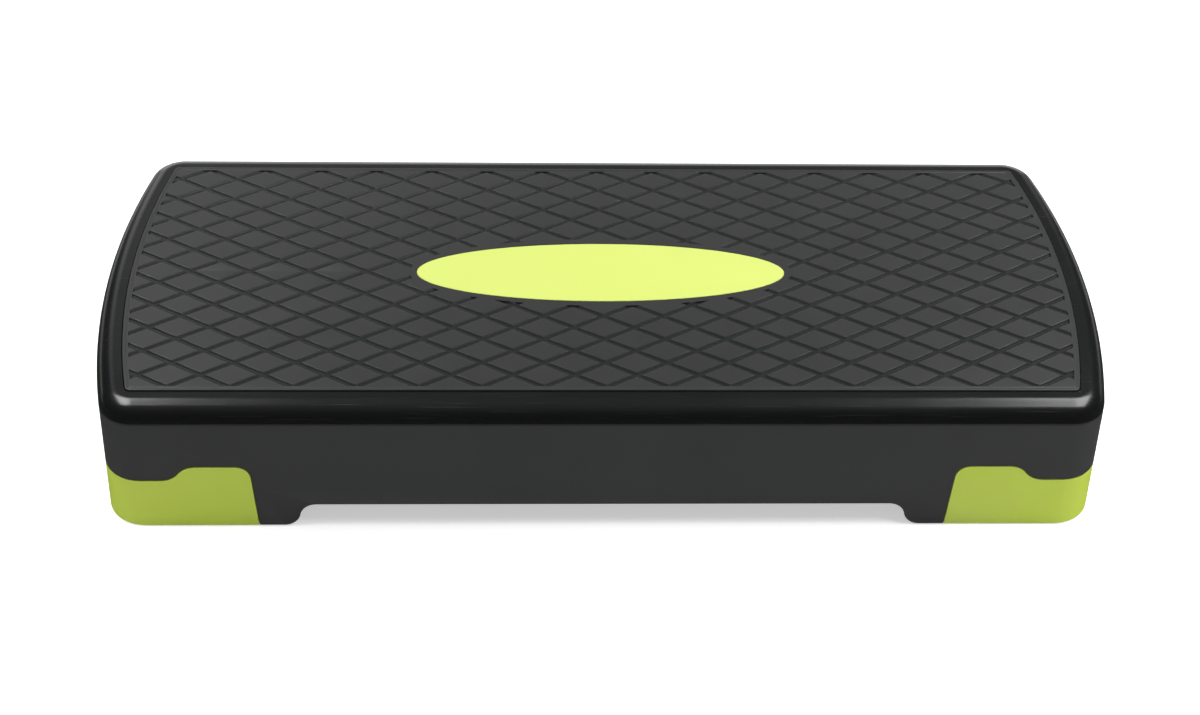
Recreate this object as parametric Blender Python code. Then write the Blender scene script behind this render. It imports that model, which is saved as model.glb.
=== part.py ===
"""Aerobic step with two heights.

A moulded deck carries an inlaid tread mat with an oval badge plate. A riser slides down out of each end
bay of the deck, and two lock slides hold it at either height.
Metres, +Z up, front towards -Y. The origin is on the floor, under the middle of the deck.
"""
import math

import bmesh
import bpy

# Deck form. Length and depth are taken where the skirt meets the rounded rim.
LENGTH = 0.674
DEPTH = 0.284
HEIGHT = 0.100
END_BOW = 0.018
CORNER_RADIUS = 0.0245
RIM_RADIUS = 0.0125
SKIRT_FLARE = math.radians(2.0)
SKIRT_WALL = 0.003
TOP_PLATE = 0.003
FLOOR_CLEARANCE = 0.0008

# Front and rear arch between the deck's feet
ARCH_HEIGHT = 0.0185
ARCH_CURVE_RUN = 0.0215
FOOT_WIDTH = 0.0162
FOOT_DEPTH = 0.038

# Ribs and bulkheads under the deck
RIB_THICKNESS = 0.0025
RIB_DEPTH = 0.032
RIB_PITCH = 0.060
BULKHEAD_THICKNESS = 0.003

# Tread mat, which stands proud of the rim, with its lattice of grooves inside a plain border, and badge
# plate inside a plain ring
MAT_INSET = 0.0178
MAT_CORNER_RADIUS = 0.004
MAT_THICKNESS = 0.004
MAT_RISE = 0.001
MAT_BORDER = 0.0038
LATTICE_LENGTH = 0.03998
LATTICE_DEPTH = 0.02426
GROOVE_WIDTH = 0.0038
GROOVE_DEPTH = 0.0012
FIELD_CORNER_RADIUS = 0.001
BADGE_RING = 0.0052
BADGE_LENGTH = 0.2516
BADGE_DEPTH = 0.0644
BADGE_THICKNESS = 0.0022

# Risers. The face is the part that shows, flush with the skirt.
RISER_REACH = 0.1111
FACE_LOW_TOP = 0.0395
FACE_TAB_TOP = 0.0509
FACE_EDGE_SLANT = math.radians(3.6)
TAB_CORNER_RADIUS = 0.010
TAB_WIDTH = 0.038
TAB_CURVE_RUN = 0.023
TAB_LAP = 0.002
RISER_WALL = 0.0025
RISER_LEDGE = 0.003
BAND_INSET = 0.001
RISER_TRAVEL = 0.050
RISER_RIB_CLEARANCE = 0.002
SOLE_THICKNESS = 0.003
SOLE_DEPTH = 0.026

# Stop peg on each bulkhead, which runs in a slot of the riser
PEG_WIDTH = 0.006
PEG_HEIGHT = 0.036

# Rubber pads under the feet
PAD_THICKNESS = 0.0022
RISER_PAD_LENGTH = 0.062
RISER_PAD_WIDTH = 0.015
DECK_PAD_LENGTH = 0.026
DECK_PAD_WIDTH = 0.008
PAD_CORNER_RADIUS = 0.003

# Lock slides, their housings, covers and screws
LOCK_OFFSET = 0.056
LOCK_HEIGHT = 0.034
LOCK_TRAVEL = 0.008
BAR_WIDTH = 0.020
BAR_THICKNESS = 0.0084
BAR_LENGTH = 0.030
BAR_SETBACK = 0.001
BAR_LEAD = 0.0015
KNOB_WIDTH = 0.012
KNOB_LENGTH = 0.008
KNOB_DROP = 0.008
KNOB_PLACE = 0.019
HOUSING_SIDE = 0.0086
HOUSING_WALL = 0.0025
HOUSING_LENGTH = 0.032
COVER_THICKNESS = 0.0025
SCREW_RADIUS = 0.0015
SCREW_LENGTH = 0.011
SCREW_HEAD_RADIUS = 0.0032
SCREW_HEAD_HEIGHT = 0.0020
SCREW_PLACE = 0.0147

# Fits between pieces
PIECE_GAP = 0.0003
PARTING_GAP = 0.0004
SLIDE_GAP = 0.0005
LOCK_GAP = 0.0004

# Steps along the curves, and how far a cutter runs past what it cuts
CORNER_STEPS = 8
END_STEPS = 12
RIM_STEPS = 6
CURVE_STEPS = 5
BADGE_STEPS = 56
TURNED_STEPS = 16
MARGIN = 0.005

# Heights and places that follow from the sizes above
RIM_TOP = HEIGHT - MAT_RISE
RIM_START = RIM_TOP - RIM_RADIUS
POCKET_FLOOR = HEIGHT - MAT_THICKNESS - PIECE_GAP
PLATE_UNDERSIDE = POCKET_FLOOR - TOP_PLATE
RIB_BOTTOM = PLATE_UNDERSIDE - RIB_DEPTH
FACE_EDGE = LENGTH / 2 - RISER_REACH
BULKHEAD_OUTER = FACE_EDGE
BULKHEAD_INNER = BULKHEAD_OUTER - BULKHEAD_THICKNESS
FOOT_INNER = FACE_EDGE - FOOT_WIDTH
SLEEVE_INNER = BULKHEAD_OUTER + SLIDE_GAP
SLEEVE_INSET = SKIRT_WALL + SLIDE_GAP
RISER_TOP = PLATE_UNDERSIDE - PIECE_GAP
SOLE_TOP = FLOOR_CLEARANCE + SOLE_THICKNESS
POCKET_TOP = PAD_THICKNESS + PIECE_GAP
HOUSING_TOP = LOCK_HEIGHT + BAR_THICKNESS / 2 + PIECE_GAP + HOUSING_WALL
HOUSING_BOTTOM = LOCK_HEIGHT - BAR_THICKNESS / 2
HOUSING_HALF = BAR_WIDTH / 2 + LOCK_GAP + HOUSING_SIDE
HOUSING_INNER = BULKHEAD_INNER - HOUSING_LENGTH
COVER_TOP = HOUSING_BOTTOM - PIECE_GAP
COVER_BOTTOM = COVER_TOP - COVER_THICKNESS
BAR_OUTER = BULKHEAD_OUTER - BAR_SETBACK
KNOB_CENTRE = BAR_OUTER - KNOB_PLACE
SCREW_X = BULKHEAD_INNER - HOUSING_LENGTH / 2
FAR = LENGTH

ENDS = {"left": -1, "right": 1}
FACES = {"front": -1, "rear": 1}


def to_nanometres(points):
    """The points rounded, so that those on a middle line lie on it exactly and the cuts there stay clean."""
    return [(round(x, 9), round(y, 9)) for x, y in points]


def arc(centre_x, centre_y, radius, start, end, steps):
    """Points along an arc, both ends included."""
    turns = [start + (end - start) * step / steps for step in range(steps + 1)]
    points = [(centre_x + radius * math.cos(turn), centre_y + radius * math.sin(turn)) for turn in turns]
    return to_nanometres(points)


def plan_outline(inset=0.0, corner=None):
    """The deck's outline moved inwards, anticlockwise from above."""
    full_radius = ((DEPTH / 2) ** 2 + END_BOW ** 2) / (2 * END_BOW)
    end_centre = LENGTH / 2 - full_radius
    end_radius = full_radius - inset
    corner_radius = CORNER_RADIUS - inset if corner is None else corner
    corner_y = DEPTH / 2 - inset - corner_radius
    corner_x = end_centre + math.sqrt((end_radius - corner_radius) ** 2 - corner_y ** 2)
    turn = math.atan2(corner_y, corner_x - end_centre)
    half = arc(corner_x, -corner_y, corner_radius, -math.pi / 2, -turn, CORNER_STEPS)
    half += arc(end_centre, 0.0, end_radius, -turn, turn, END_STEPS)[1:-1]
    half += arc(corner_x, corner_y, corner_radius, turn, math.pi / 2, CORNER_STEPS)
    return half + [(-x, -y) for x, y in half]


def rounded_rectangle(centre_x, centre_y, size_x, size_y, radius):
    """A rectangle with round corners, anticlockwise."""
    points = []
    for quarter, (sign_x, sign_y) in enumerate(((1, 1), (-1, 1), (-1, -1), (1, -1))):
        corner_x = centre_x + sign_x * (size_x / 2 - radius)
        corner_y = centre_y + sign_y * (size_y / 2 - radius)
        start = quarter * math.pi / 2
        points += arc(corner_x, corner_y, radius, start, start + math.pi / 2, CURVE_STEPS)
    return points


def ellipse(length, depth):
    """An ellipse about the origin, anticlockwise."""
    turns = [2 * math.pi * step / BADGE_STEPS for step in range(BADGE_STEPS)]
    return to_nanometres([(length / 2 * math.cos(turn), depth / 2 * math.sin(turn)) for turn in turns])


def wave(start_x, start_z, run, drop, offset=0.0):
    """Two equal arcs that leave level, fall by drop over run, and end level; offset moves the curve down."""
    bend = 2 * math.atan2(drop, run)
    radius = run / (2 * math.sin(bend))
    level = math.pi / 2
    upper = arc(start_x, start_z - radius, radius - offset, level, level - bend, CURVE_STEPS)
    lower = arc(start_x + run, start_z - drop + radius, radius + offset, -level - bend, -level, CURVE_STEPS)
    return upper + lower[1:]


def face_edge_x(height):
    """Where the riser's face meets the deck's foot; it slants outwards as it rises."""
    return FACE_EDGE + height * math.tan(FACE_EDGE_SLANT)


def face_outline(gap):
    """Outline in x and z of a riser's face: up the slanted edge, over the tab and out past the end."""
    slant = FACE_EDGE_SLANT
    centre_z = FACE_TAB_TOP - TAB_CORNER_RADIUS
    centre_x = FACE_EDGE + (TAB_CORNER_RADIUS + centre_z * math.sin(slant)) / math.cos(slant)
    points = [(face_edge_x(-MARGIN) + gap / math.cos(slant), -MARGIN)]
    points += arc(centre_x, centre_z, TAB_CORNER_RADIUS - gap, math.pi - slant, math.pi / 2, CURVE_STEPS)
    tab_end = FACE_EDGE + TAB_WIDTH
    points += wave(tab_end, FACE_TAB_TOP, TAB_CURVE_RUN, FACE_TAB_TOP - FACE_LOW_TOP, gap)
    points += [(FAR, FACE_LOW_TOP - gap), (FAR, -MARGIN)]
    return points


def arch_outline():
    """Outline in x and z of the gap between the deck's feet."""
    rise = ARCH_HEIGHT - FLOOR_CLEARANCE
    side = wave(FOOT_INNER - ARCH_CURVE_RUN, ARCH_HEIGHT, ARCH_CURVE_RUN, rise)
    half = [*side, (FOOT_INNER, -MARGIN)]
    return half + [(-x, z) for x, z in reversed(half)]


def make_object(name, bm):
    """An object of this mesh, faces pointing out."""
    bmesh.ops.recalc_face_normals(bm, faces=bm.faces)
    mesh = bpy.data.meshes.new(name)
    bm.to_mesh(mesh)
    bm.free()
    body = bpy.data.objects.new(name, mesh)
    bpy.context.scene.collection.objects.link(body)
    return body


def loft(name, rings):
    """A closed body through rings of equally many points."""
    bm = bmesh.new()
    loops = [[bm.verts.new(point) for point in ring] for ring in rings]
    for lower, upper in zip(loops, loops[1:]):
        for index, start in enumerate(lower):
            after = (index + 1) % len(lower)
            bm.faces.new((start, lower[after], upper[after], upper[index]))
    bm.faces.new(loops[0][::-1])
    bm.faces.new(loops[-1])
    return make_object(name, bm)


def upright(name, outline, low, high):
    """A plan outline raised from low to high."""
    return loft(name, [[(x, y, z) for x, y in outline] for z in (low, high)])


def crosswise(name, outline, end=1):
    """An outline in x and z run from front to rear past the whole deck, mirrored for the left end."""
    return loft(name, [[(end * x, y, z) for x, z in outline] for y in (-DEPTH, DEPTH)])


def box(name, low, high):
    """A box between two opposite corners, in any order."""
    outline = [(low[0], low[1]), (high[0], low[1]), (high[0], high[1]), (low[0], high[1])]
    return upright(name, outline, low[2], high[2])


def skirt_form(name, inset, low, high):
    """The flared skirt's solid form between two heights, moved inwards by inset."""
    rings = []
    for z in (low, high):
        flare = (RIM_START - z) * math.tan(SKIRT_FLARE)
        rings.append([(x, y, z) for x, y in plan_outline(inset - flare)])
    return loft(name, rings)


def join(name, bodies):
    """One object of several bodies that don't touch, which are used up."""
    bm = bmesh.new()
    for body in bodies:
        bm.from_mesh(body.data)
        bpy.data.objects.remove(body)
    return make_object(name, bm)


def apply_tool(body, tool, operation="DIFFERENCE"):
    """Cut, join or intersect body with tool, and use the tool up."""
    modifier = body.modifiers.new(operation.title(), "BOOLEAN")
    modifier.operation = operation
    modifier.solver = "EXACT"
    modifier.object = tool
    view = bpy.context.evaluated_depsgraph_get()
    before = body.data
    body.data = bpy.data.meshes.new_from_object(body.evaluated_get(view))
    body.modifiers.clear()
    bpy.data.meshes.remove(before)
    bpy.data.objects.remove(tool)


def material(name, colour, roughness, metallic=0.0):
    """A Principled material."""
    made = bpy.data.materials.new(name)
    made.use_nodes = True
    shader = made.node_tree.nodes["Principled BSDF"]
    shader.inputs["Base Color"].default_value = (*colour, 1.0)
    shader.inputs["Roughness"].default_value = roughness
    shader.inputs["Metallic"].default_value = metallic
    return made


def finish(body, surface, origin, carrier):
    """Name the mesh, give it its material, its own origin and its carrier, and smooth its round faces."""
    mesh = body.data
    mesh.name = body.name
    mesh.materials.clear()
    mesh.materials.append(surface)
    mesh.shade_smooth()
    mesh.set_sharp_from_angle(angle=math.radians(30))
    for vertex in mesh.vertices:
        vertex.co = [value - start for value, start in zip(vertex.co, origin)]
    body.location = [value - start for value, start in zip(origin, carrier.location)]
    body.parent = carrier


def make_carrier(name, location):
    """An empty that carries the pieces of one moving body."""
    carrier = bpy.data.objects.new(name, None)
    carrier.location = location
    bpy.context.scene.collection.objects.link(carrier)
    return carrier


def rib_places(low, high):
    """Evenly spaced places for ribs between two walls, about a rib pitch apart."""
    bays = max(2, round((high - low) / RIB_PITCH))
    return [low + (high - low) * bay / bays for bay in range(1, bays)]


def lock_places():
    """End name, face name, end sign and the lock's y, for each of the locks."""
    return [(end, face, ENDS[end], FACES[face] * LOCK_OFFSET) for end in ENDS for face in FACES]


def deck_rim_rings():
    """Rings of the deck's outer form, from the skirt's foot to the flat top."""
    flare = (RIM_START - FLOOR_CLEARANCE) * math.tan(SKIRT_FLARE)
    rings = [[(x, y, FLOOR_CLEARANCE) for x, y in plan_outline(-flare)]]
    for step in range(RIM_STEPS + 1):
        turn = math.pi / 2 * step / RIM_STEPS
        height = RIM_START + RIM_RADIUS * math.sin(turn)
        rings.append([(x, y, height) for x, y in plan_outline(RIM_RADIUS * (1 - math.cos(turn)))])
    return rings


def deck_hollow():
    """The space under the deck's top, less its bulkheads, ribs, feet and lock housings."""
    hollow = upright("deck_hollow", plan_outline(SKIRT_WALL), -MARGIN, PLATE_UNDERSIDE)
    floor, ceiling, side = -2 * MARGIN, PLATE_UNDERSIDE + MARGIN, DEPTH
    for x in rib_places(-BULKHEAD_INNER, BULKHEAD_INNER):
        half = RIB_THICKNESS / 2
        apply_tool(hollow, box("cross_rib", (x - half, -side, RIB_BOTTOM), (x + half, side, ceiling)))
    reach = (BULKHEAD_INNER + BULKHEAD_OUTER) / 2
    for y in rib_places(-DEPTH / 2 + SKIRT_WALL, DEPTH / 2 - SKIRT_WALL):
        half = RIB_THICKNESS / 2
        apply_tool(hollow, box("long_rib", (-reach, y - half, RIB_BOTTOM), (reach, y + half, ceiling)))
    for end in ENDS.values():
        low = (end * BULKHEAD_INNER, -side, floor)
        apply_tool(hollow, box("bulkhead", low, (end * BULKHEAD_OUTER, side, ceiling)))
        for face in FACES.values():
            foot_y = face * (DEPTH / 2 - FOOT_DEPTH)
            low = (end * FOOT_INNER, foot_y, floor)
            apply_tool(hollow, box("foot_sole", low, (end * reach, face * side, SOLE_TOP)))
            high = (end * (FOOT_INNER + RIB_THICKNESS), face * side, ceiling)
            apply_tool(hollow, box("foot_rib", low, high))
    for _, _, end, y in lock_places():
        low = (end * HOUSING_INNER, y - HOUSING_HALF, HOUSING_BOTTOM)
        high = (end * reach, y + HOUSING_HALF, HOUSING_TOP)
        apply_tool(hollow, box("lock_housing", low, high))
    return hollow


def cut_riser_bays(shell):
    """Cut the skirt away for the risers' faces, with a shallow lap for the tab."""
    for end in ENDS.values():
        opening = [
            (face_edge_x(-MARGIN), -MARGIN),
            (face_edge_x(FACE_LOW_TOP), FACE_LOW_TOP),
            (FAR, FACE_LOW_TOP),
            (FAR, -MARGIN),
        ]
        apply_tool(shell, crosswise("riser_opening", opening, end))
        lap = crosswise("tab_lap", face_outline(0.0), end)
        apply_tool(lap, skirt_form("lap_floor", TAB_LAP, -2 * MARGIN, RIM_START))
        apply_tool(shell, lap)


def cut_lock_channels(shell):
    """Cut each lock's channel, its window in the bulkhead and the screw holes."""
    for _, _, end, y in lock_places():
        half = BAR_WIDTH / 2 + LOCK_GAP
        top = LOCK_HEIGHT + BAR_THICKNESS / 2 + PIECE_GAP
        low = (end * (HOUSING_INNER + HOUSING_WALL), y - half, HOUSING_BOTTOM - MARGIN)
        apply_tool(shell, box("channel", low, (end * BULKHEAD_INNER, y + half, top)))
        low = (end * (BULKHEAD_INNER - PIECE_GAP), y - half, HOUSING_BOTTOM - LOCK_GAP)
        apply_tool(shell, box("bar_window", low, (end * (BULKHEAD_OUTER + PIECE_GAP), y + half, top)))
        for side in FACES.values():
            apply_tool(shell, screw_hole(end * SCREW_X, y + side * SCREW_PLACE))


def cut_bulkhead_arches(shell):
    """Lift the bulkheads off the floor between the feet."""
    inner = BULKHEAD_INNER - PIECE_GAP
    outer = BULKHEAD_OUTER + PIECE_GAP
    foot_y = DEPTH / 2 - FOOT_DEPTH
    for end in ENDS.values():
        high = (end * outer, foot_y, ARCH_HEIGHT)
        apply_tool(shell, box("bulkhead_arch", (end * inner, -foot_y, -MARGIN), high))


def add_stop_pegs(shell):
    """Pegs on the bulkheads that stop the risers at both ends of their travel."""
    half = PEG_WIDTH / 2
    for end in ENDS.values():
        low = (end * (BULKHEAD_OUTER - BULKHEAD_THICKNESS / 2), -half, PEG_HEIGHT - half)
        high = (end * (SLEEVE_INNER + RISER_WALL), half, PEG_HEIGHT + half)
        apply_tool(shell, box("stop_peg", low, high), "UNION")


def deck_pad_places():
    """Centre x and y of each deck foot's pad."""
    x = (FOOT_INNER + FACE_EDGE) / 2
    y = DEPTH / 2 - FOOT_DEPTH / 2
    return {(end, face): (ENDS[end] * x, FACES[face] * y) for end in ENDS for face in FACES}


def riser_pad_places():
    """Centre x and y of each riser foot's pad."""
    x = FACE_EDGE + (RISER_REACH - END_BOW) / 2
    y = DEPTH / 2 - BAND_INSET - SOLE_DEPTH / 2
    return {(end, face): (ENDS[end] * x, FACES[face] * y) for end in ENDS for face in FACES}


def pad_pocket(x, y, length, width):
    """The shallow pocket that a pad sits in."""
    grown = 2 * PIECE_GAP
    radius = PAD_CORNER_RADIUS + PIECE_GAP
    outline = rounded_rectangle(x, y, length + grown, width + grown, radius)
    return upright("pad_pocket", outline, -MARGIN, POCKET_TOP)


def build_deck_shell():
    """The deck: a ribbed shell with the mat's pocket, the arches and the riser bays."""
    shell = loft("deck_shell", deck_rim_rings())
    pocket = plan_outline(MAT_INSET - PIECE_GAP, MAT_CORNER_RADIUS + PIECE_GAP)
    apply_tool(shell, upright("mat_pocket", pocket, POCKET_FLOOR, HEIGHT + MARGIN))
    apply_tool(shell, deck_hollow())
    apply_tool(shell, crosswise("arch", arch_outline()))
    cut_bulkhead_arches(shell)
    cut_riser_bays(shell)
    cut_lock_channels(shell)
    add_stop_pegs(shell)
    for x, y in deck_pad_places().values():
        apply_tool(shell, pad_pocket(x, y, DECK_PAD_WIDTH, DECK_PAD_LENGTH))
    return shell


def lattice_diamonds():
    """Upright blocks over the flat diamonds that the grooves leave between them."""
    slant = math.atan2(LATTICE_DEPTH, LATTICE_LENGTH)
    share = 1 - GROOVE_WIDTH / (LATTICE_LENGTH * math.sin(slant))
    half_x, half_y = share * LATTICE_LENGTH / 2, share * LATTICE_DEPTH / 2
    columns = math.ceil(LENGTH / LATTICE_LENGTH)
    rows = math.ceil(DEPTH / LATTICE_DEPTH)
    diamonds = []
    for column in range(-columns, columns + 1):
        for row in range(-rows, rows + 1):
            if (column + row) % 2:
                x, y = column * LATTICE_LENGTH / 2, row * LATTICE_DEPTH / 2
                outline = [(x - half_x, y), (x, y - half_y), (x + half_x, y), (x, y + half_y)]
                diamonds.append(upright("diamond", outline, 0.0, 2 * HEIGHT))
    return join("diamonds", diamonds)


def cut_grooves(mat):
    """Cut the grooves between the diamonds, which stop at the mat's border and at the badge plate's ring."""
    outline = plan_outline(MAT_INSET + MAT_BORDER, FIELD_CORNER_RADIUS)
    grooves = upright("grooves", outline, HEIGHT - GROOVE_DEPTH, HEIGHT + MARGIN)
    apply_tool(grooves, lattice_diamonds())
    ring = ellipse(BADGE_LENGTH + 2 * BADGE_RING, BADGE_DEPTH + 2 * BADGE_RING)
    apply_tool(grooves, upright("badge_ring", ring, 0.0, 2 * HEIGHT))
    apply_tool(mat, grooves)


def build_tread_mat():
    """The inlaid mat, with its lattice of grooves and a pocket for the badge plate."""
    outline = plan_outline(MAT_INSET, MAT_CORNER_RADIUS)
    mat = upright("tread_mat", outline, HEIGHT - MAT_THICKNESS, HEIGHT)
    pocket = ellipse(BADGE_LENGTH + 2 * PIECE_GAP, BADGE_DEPTH + 2 * PIECE_GAP)
    floor = HEIGHT - BADGE_THICKNESS - PIECE_GAP
    apply_tool(mat, upright("badge_pocket", pocket, floor, HEIGHT + MARGIN))
    cut_grooves(mat)
    return mat


def build_badge_plate():
    """The bare oval plate."""
    return upright("badge_plate", ellipse(BADGE_LENGTH, BADGE_DEPTH), HEIGHT - BADGE_THICKNESS, HEIGHT)


def riser_hollow(end):
    """The space inside a riser, less its ribs and soles."""
    inset = SLEEVE_INSET + RISER_WALL
    ledge = FACE_LOW_TOP - RISER_LEDGE
    hollow = upright("riser_hollow", plan_outline(BAND_INSET), -MARGIN, ledge)
    upper = upright("upper_hollow", plan_outline(inset), ledge - MARGIN, RISER_TOP - RISER_WALL)
    apply_tool(hollow, upper, "UNION")
    inner = SLEEVE_INNER + RISER_WALL
    inside = box("inside", (end * inner, -DEPTH, -2 * MARGIN), (end * FAR, DEPTH, HEIGHT))
    apply_tool(hollow, inside, "INTERSECT")
    half = RIB_THICKNESS / 2
    low_z = FLOOR_CLEARANCE + RISER_RIB_CLEARANCE
    for x in rib_places(inner, LENGTH / 2 - inset):
        high = (end * (x + half), DEPTH, HEIGHT)
        apply_tool(hollow, box("cross_rib", (end * (x - half), -DEPTH, low_z), high))
    for y in rib_places(-DEPTH / 2 + inset, DEPTH / 2 - inset):
        high = (end * FAR, y + half, HEIGHT)
        apply_tool(hollow, box("long_rib", (0.0, y - half, low_z), high))
    for (name, _), (x, y) in riser_pad_places().items():
        if ENDS[name] == end:
            half_length = RISER_PAD_LENGTH / 2 + SOLE_THICKNESS
            face = math.copysign(1, y)
            low = (x - half_length, y - face * SOLE_DEPTH / 2, -2 * MARGIN)
            apply_tool(hollow, box("sole", low, (x + half_length, face * DEPTH, SOLE_TOP)))
    return hollow


def cut_riser_windows(riser, end):
    """Cut the windows that the lock bars enter at either height, and the stop peg's slot."""
    inner = SLEEVE_INNER - PIECE_GAP
    outer = SLEEVE_INNER + RISER_WALL + PIECE_GAP
    half_y = BAR_WIDTH / 2 + LOCK_GAP
    half_z = BAR_THICKNESS / 2 + LOCK_GAP
    for face in FACES.values():
        y = face * LOCK_OFFSET
        for z in (LOCK_HEIGHT, LOCK_HEIGHT + RISER_TRAVEL):
            low = (end * inner, y - half_y, z - half_z)
            apply_tool(riser, box("window", low, (end * outer, y + half_y, z + half_z)))
    half_y = PEG_WIDTH / 2 + LOCK_GAP
    low = (end * inner, -half_y, PEG_HEIGHT - half_y)
    high = (end * outer, half_y, PEG_HEIGHT + RISER_TRAVEL + half_y)
    apply_tool(riser, box("peg_slot", low, high))


def build_riser(name, end):
    """One riser: a ribbed box that slides in the deck's end bay, with a face flush with the skirt."""
    riser = skirt_form(name, 0.0, FLOOR_CLEARANCE, FACE_TAB_TOP + MARGIN)
    apply_tool(riser, crosswise("face", face_outline(PARTING_GAP), end), "INTERSECT")
    tab_back = skirt_form("tab_back", TAB_LAP - PARTING_GAP, FACE_LOW_TOP - PARTING_GAP, RIM_START)
    apply_tool(riser, tab_back)
    sleeve = upright("sleeve", plan_outline(SLEEVE_INSET), FLOOR_CLEARANCE, RISER_TOP)
    bay = box("bay", (end * SLEEVE_INNER, -DEPTH, -MARGIN), (end * FAR, DEPTH, HEIGHT + MARGIN))
    apply_tool(sleeve, bay, "INTERSECT")
    apply_tool(riser, sleeve, "UNION")
    apply_tool(riser, riser_hollow(end))
    cut_riser_windows(riser, end)
    for (place, _), (x, y) in riser_pad_places().items():
        if ENDS[place] == end:
            apply_tool(riser, pad_pocket(x, y, RISER_PAD_LENGTH, RISER_PAD_WIDTH))
    return riser


def build_pad(name, x, y, size_x, size_y):
    """A rubber pad under a foot."""
    outline = rounded_rectangle(x, y, size_x, size_y, PAD_CORNER_RADIUS)
    return upright(name, outline, 0.0, PAD_THICKNESS)


def build_lock_slide(name, end, y):
    """A lock bar with a chamfered nose and a finger knob under it."""
    low, high = LOCK_HEIGHT - BAR_THICKNESS / 2, LOCK_HEIGHT + BAR_THICKNESS / 2
    inner, nose = BAR_OUTER - BAR_LENGTH, BAR_OUTER
    profile = [
        (inner, low),
        (nose - BAR_LEAD, low),
        (nose, low + BAR_LEAD),
        (nose, high - BAR_LEAD),
        (nose - BAR_LEAD, high),
        (inner, high),
    ]
    sides = (y - BAR_WIDTH / 2, y + BAR_WIDTH / 2)
    slide = loft(name, [[(end * x, side, z) for x, z in profile] for side in sides])
    outline = rounded_rectangle(end * KNOB_CENTRE, y, KNOB_LENGTH, KNOB_WIDTH, PAD_CORNER_RADIUS)
    knob = upright("knob", outline, COVER_BOTTOM - KNOB_DROP, LOCK_HEIGHT)
    apply_tool(slide, knob, "UNION")
    return slide


def screw_hole(x, y):
    """A screw's clearance hole through the cover and into the housing."""
    outline = arc(x, y, SCREW_RADIUS + PIECE_GAP, 0.0, 2 * math.pi, TURNED_STEPS)[:-1]
    top = COVER_BOTTOM + SCREW_LENGTH + PIECE_GAP
    return upright("screw_hole", outline, COVER_BOTTOM - MARGIN, top)


def build_lock_cover(name, end, y):
    """The slotted plate that closes a lock's housing from below."""
    low = (end * HOUSING_INNER, y - HOUSING_HALF, COVER_BOTTOM)
    high = (end * (BULKHEAD_INNER - PIECE_GAP), y + HOUSING_HALF, COVER_TOP)
    cover = box(name, low, high)
    centre = end * (KNOB_CENTRE + LOCK_TRAVEL / 2)
    length = KNOB_LENGTH + LOCK_TRAVEL + 2 * LOCK_GAP
    radius = PAD_CORNER_RADIUS + LOCK_GAP
    slot = rounded_rectangle(centre, y, length, KNOB_WIDTH + 2 * LOCK_GAP, radius)
    apply_tool(cover, upright("knob_slot", slot, COVER_BOTTOM - MARGIN, COVER_TOP + MARGIN))
    for side in FACES.values():
        apply_tool(cover, screw_hole(end * SCREW_X, y + side * SCREW_PLACE))
    return cover


def build_screw(name, x, y):
    """A cover screw, head down, turned about its axis."""
    seat = COVER_BOTTOM - PIECE_GAP
    crown = SCREW_HEAD_HEIGHT / 2
    stations = [
        (SCREW_HEAD_RADIUS - crown, seat - SCREW_HEAD_HEIGHT),
        (SCREW_HEAD_RADIUS, seat - crown),
        (SCREW_HEAD_RADIUS, seat),
        (SCREW_RADIUS, seat),
        (SCREW_RADIUS, COVER_BOTTOM + SCREW_LENGTH - SCREW_RADIUS),
        (SCREW_RADIUS / 2, COVER_BOTTOM + SCREW_LENGTH),
    ]
    rings = []
    for radius, height in stations:
        outline = arc(x, y, radius, 0.0, 2 * math.pi, TURNED_STEPS)[:-1]
        rings.append([(px, py, height) for px, py in outline])
    return loft(name, rings)


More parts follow.
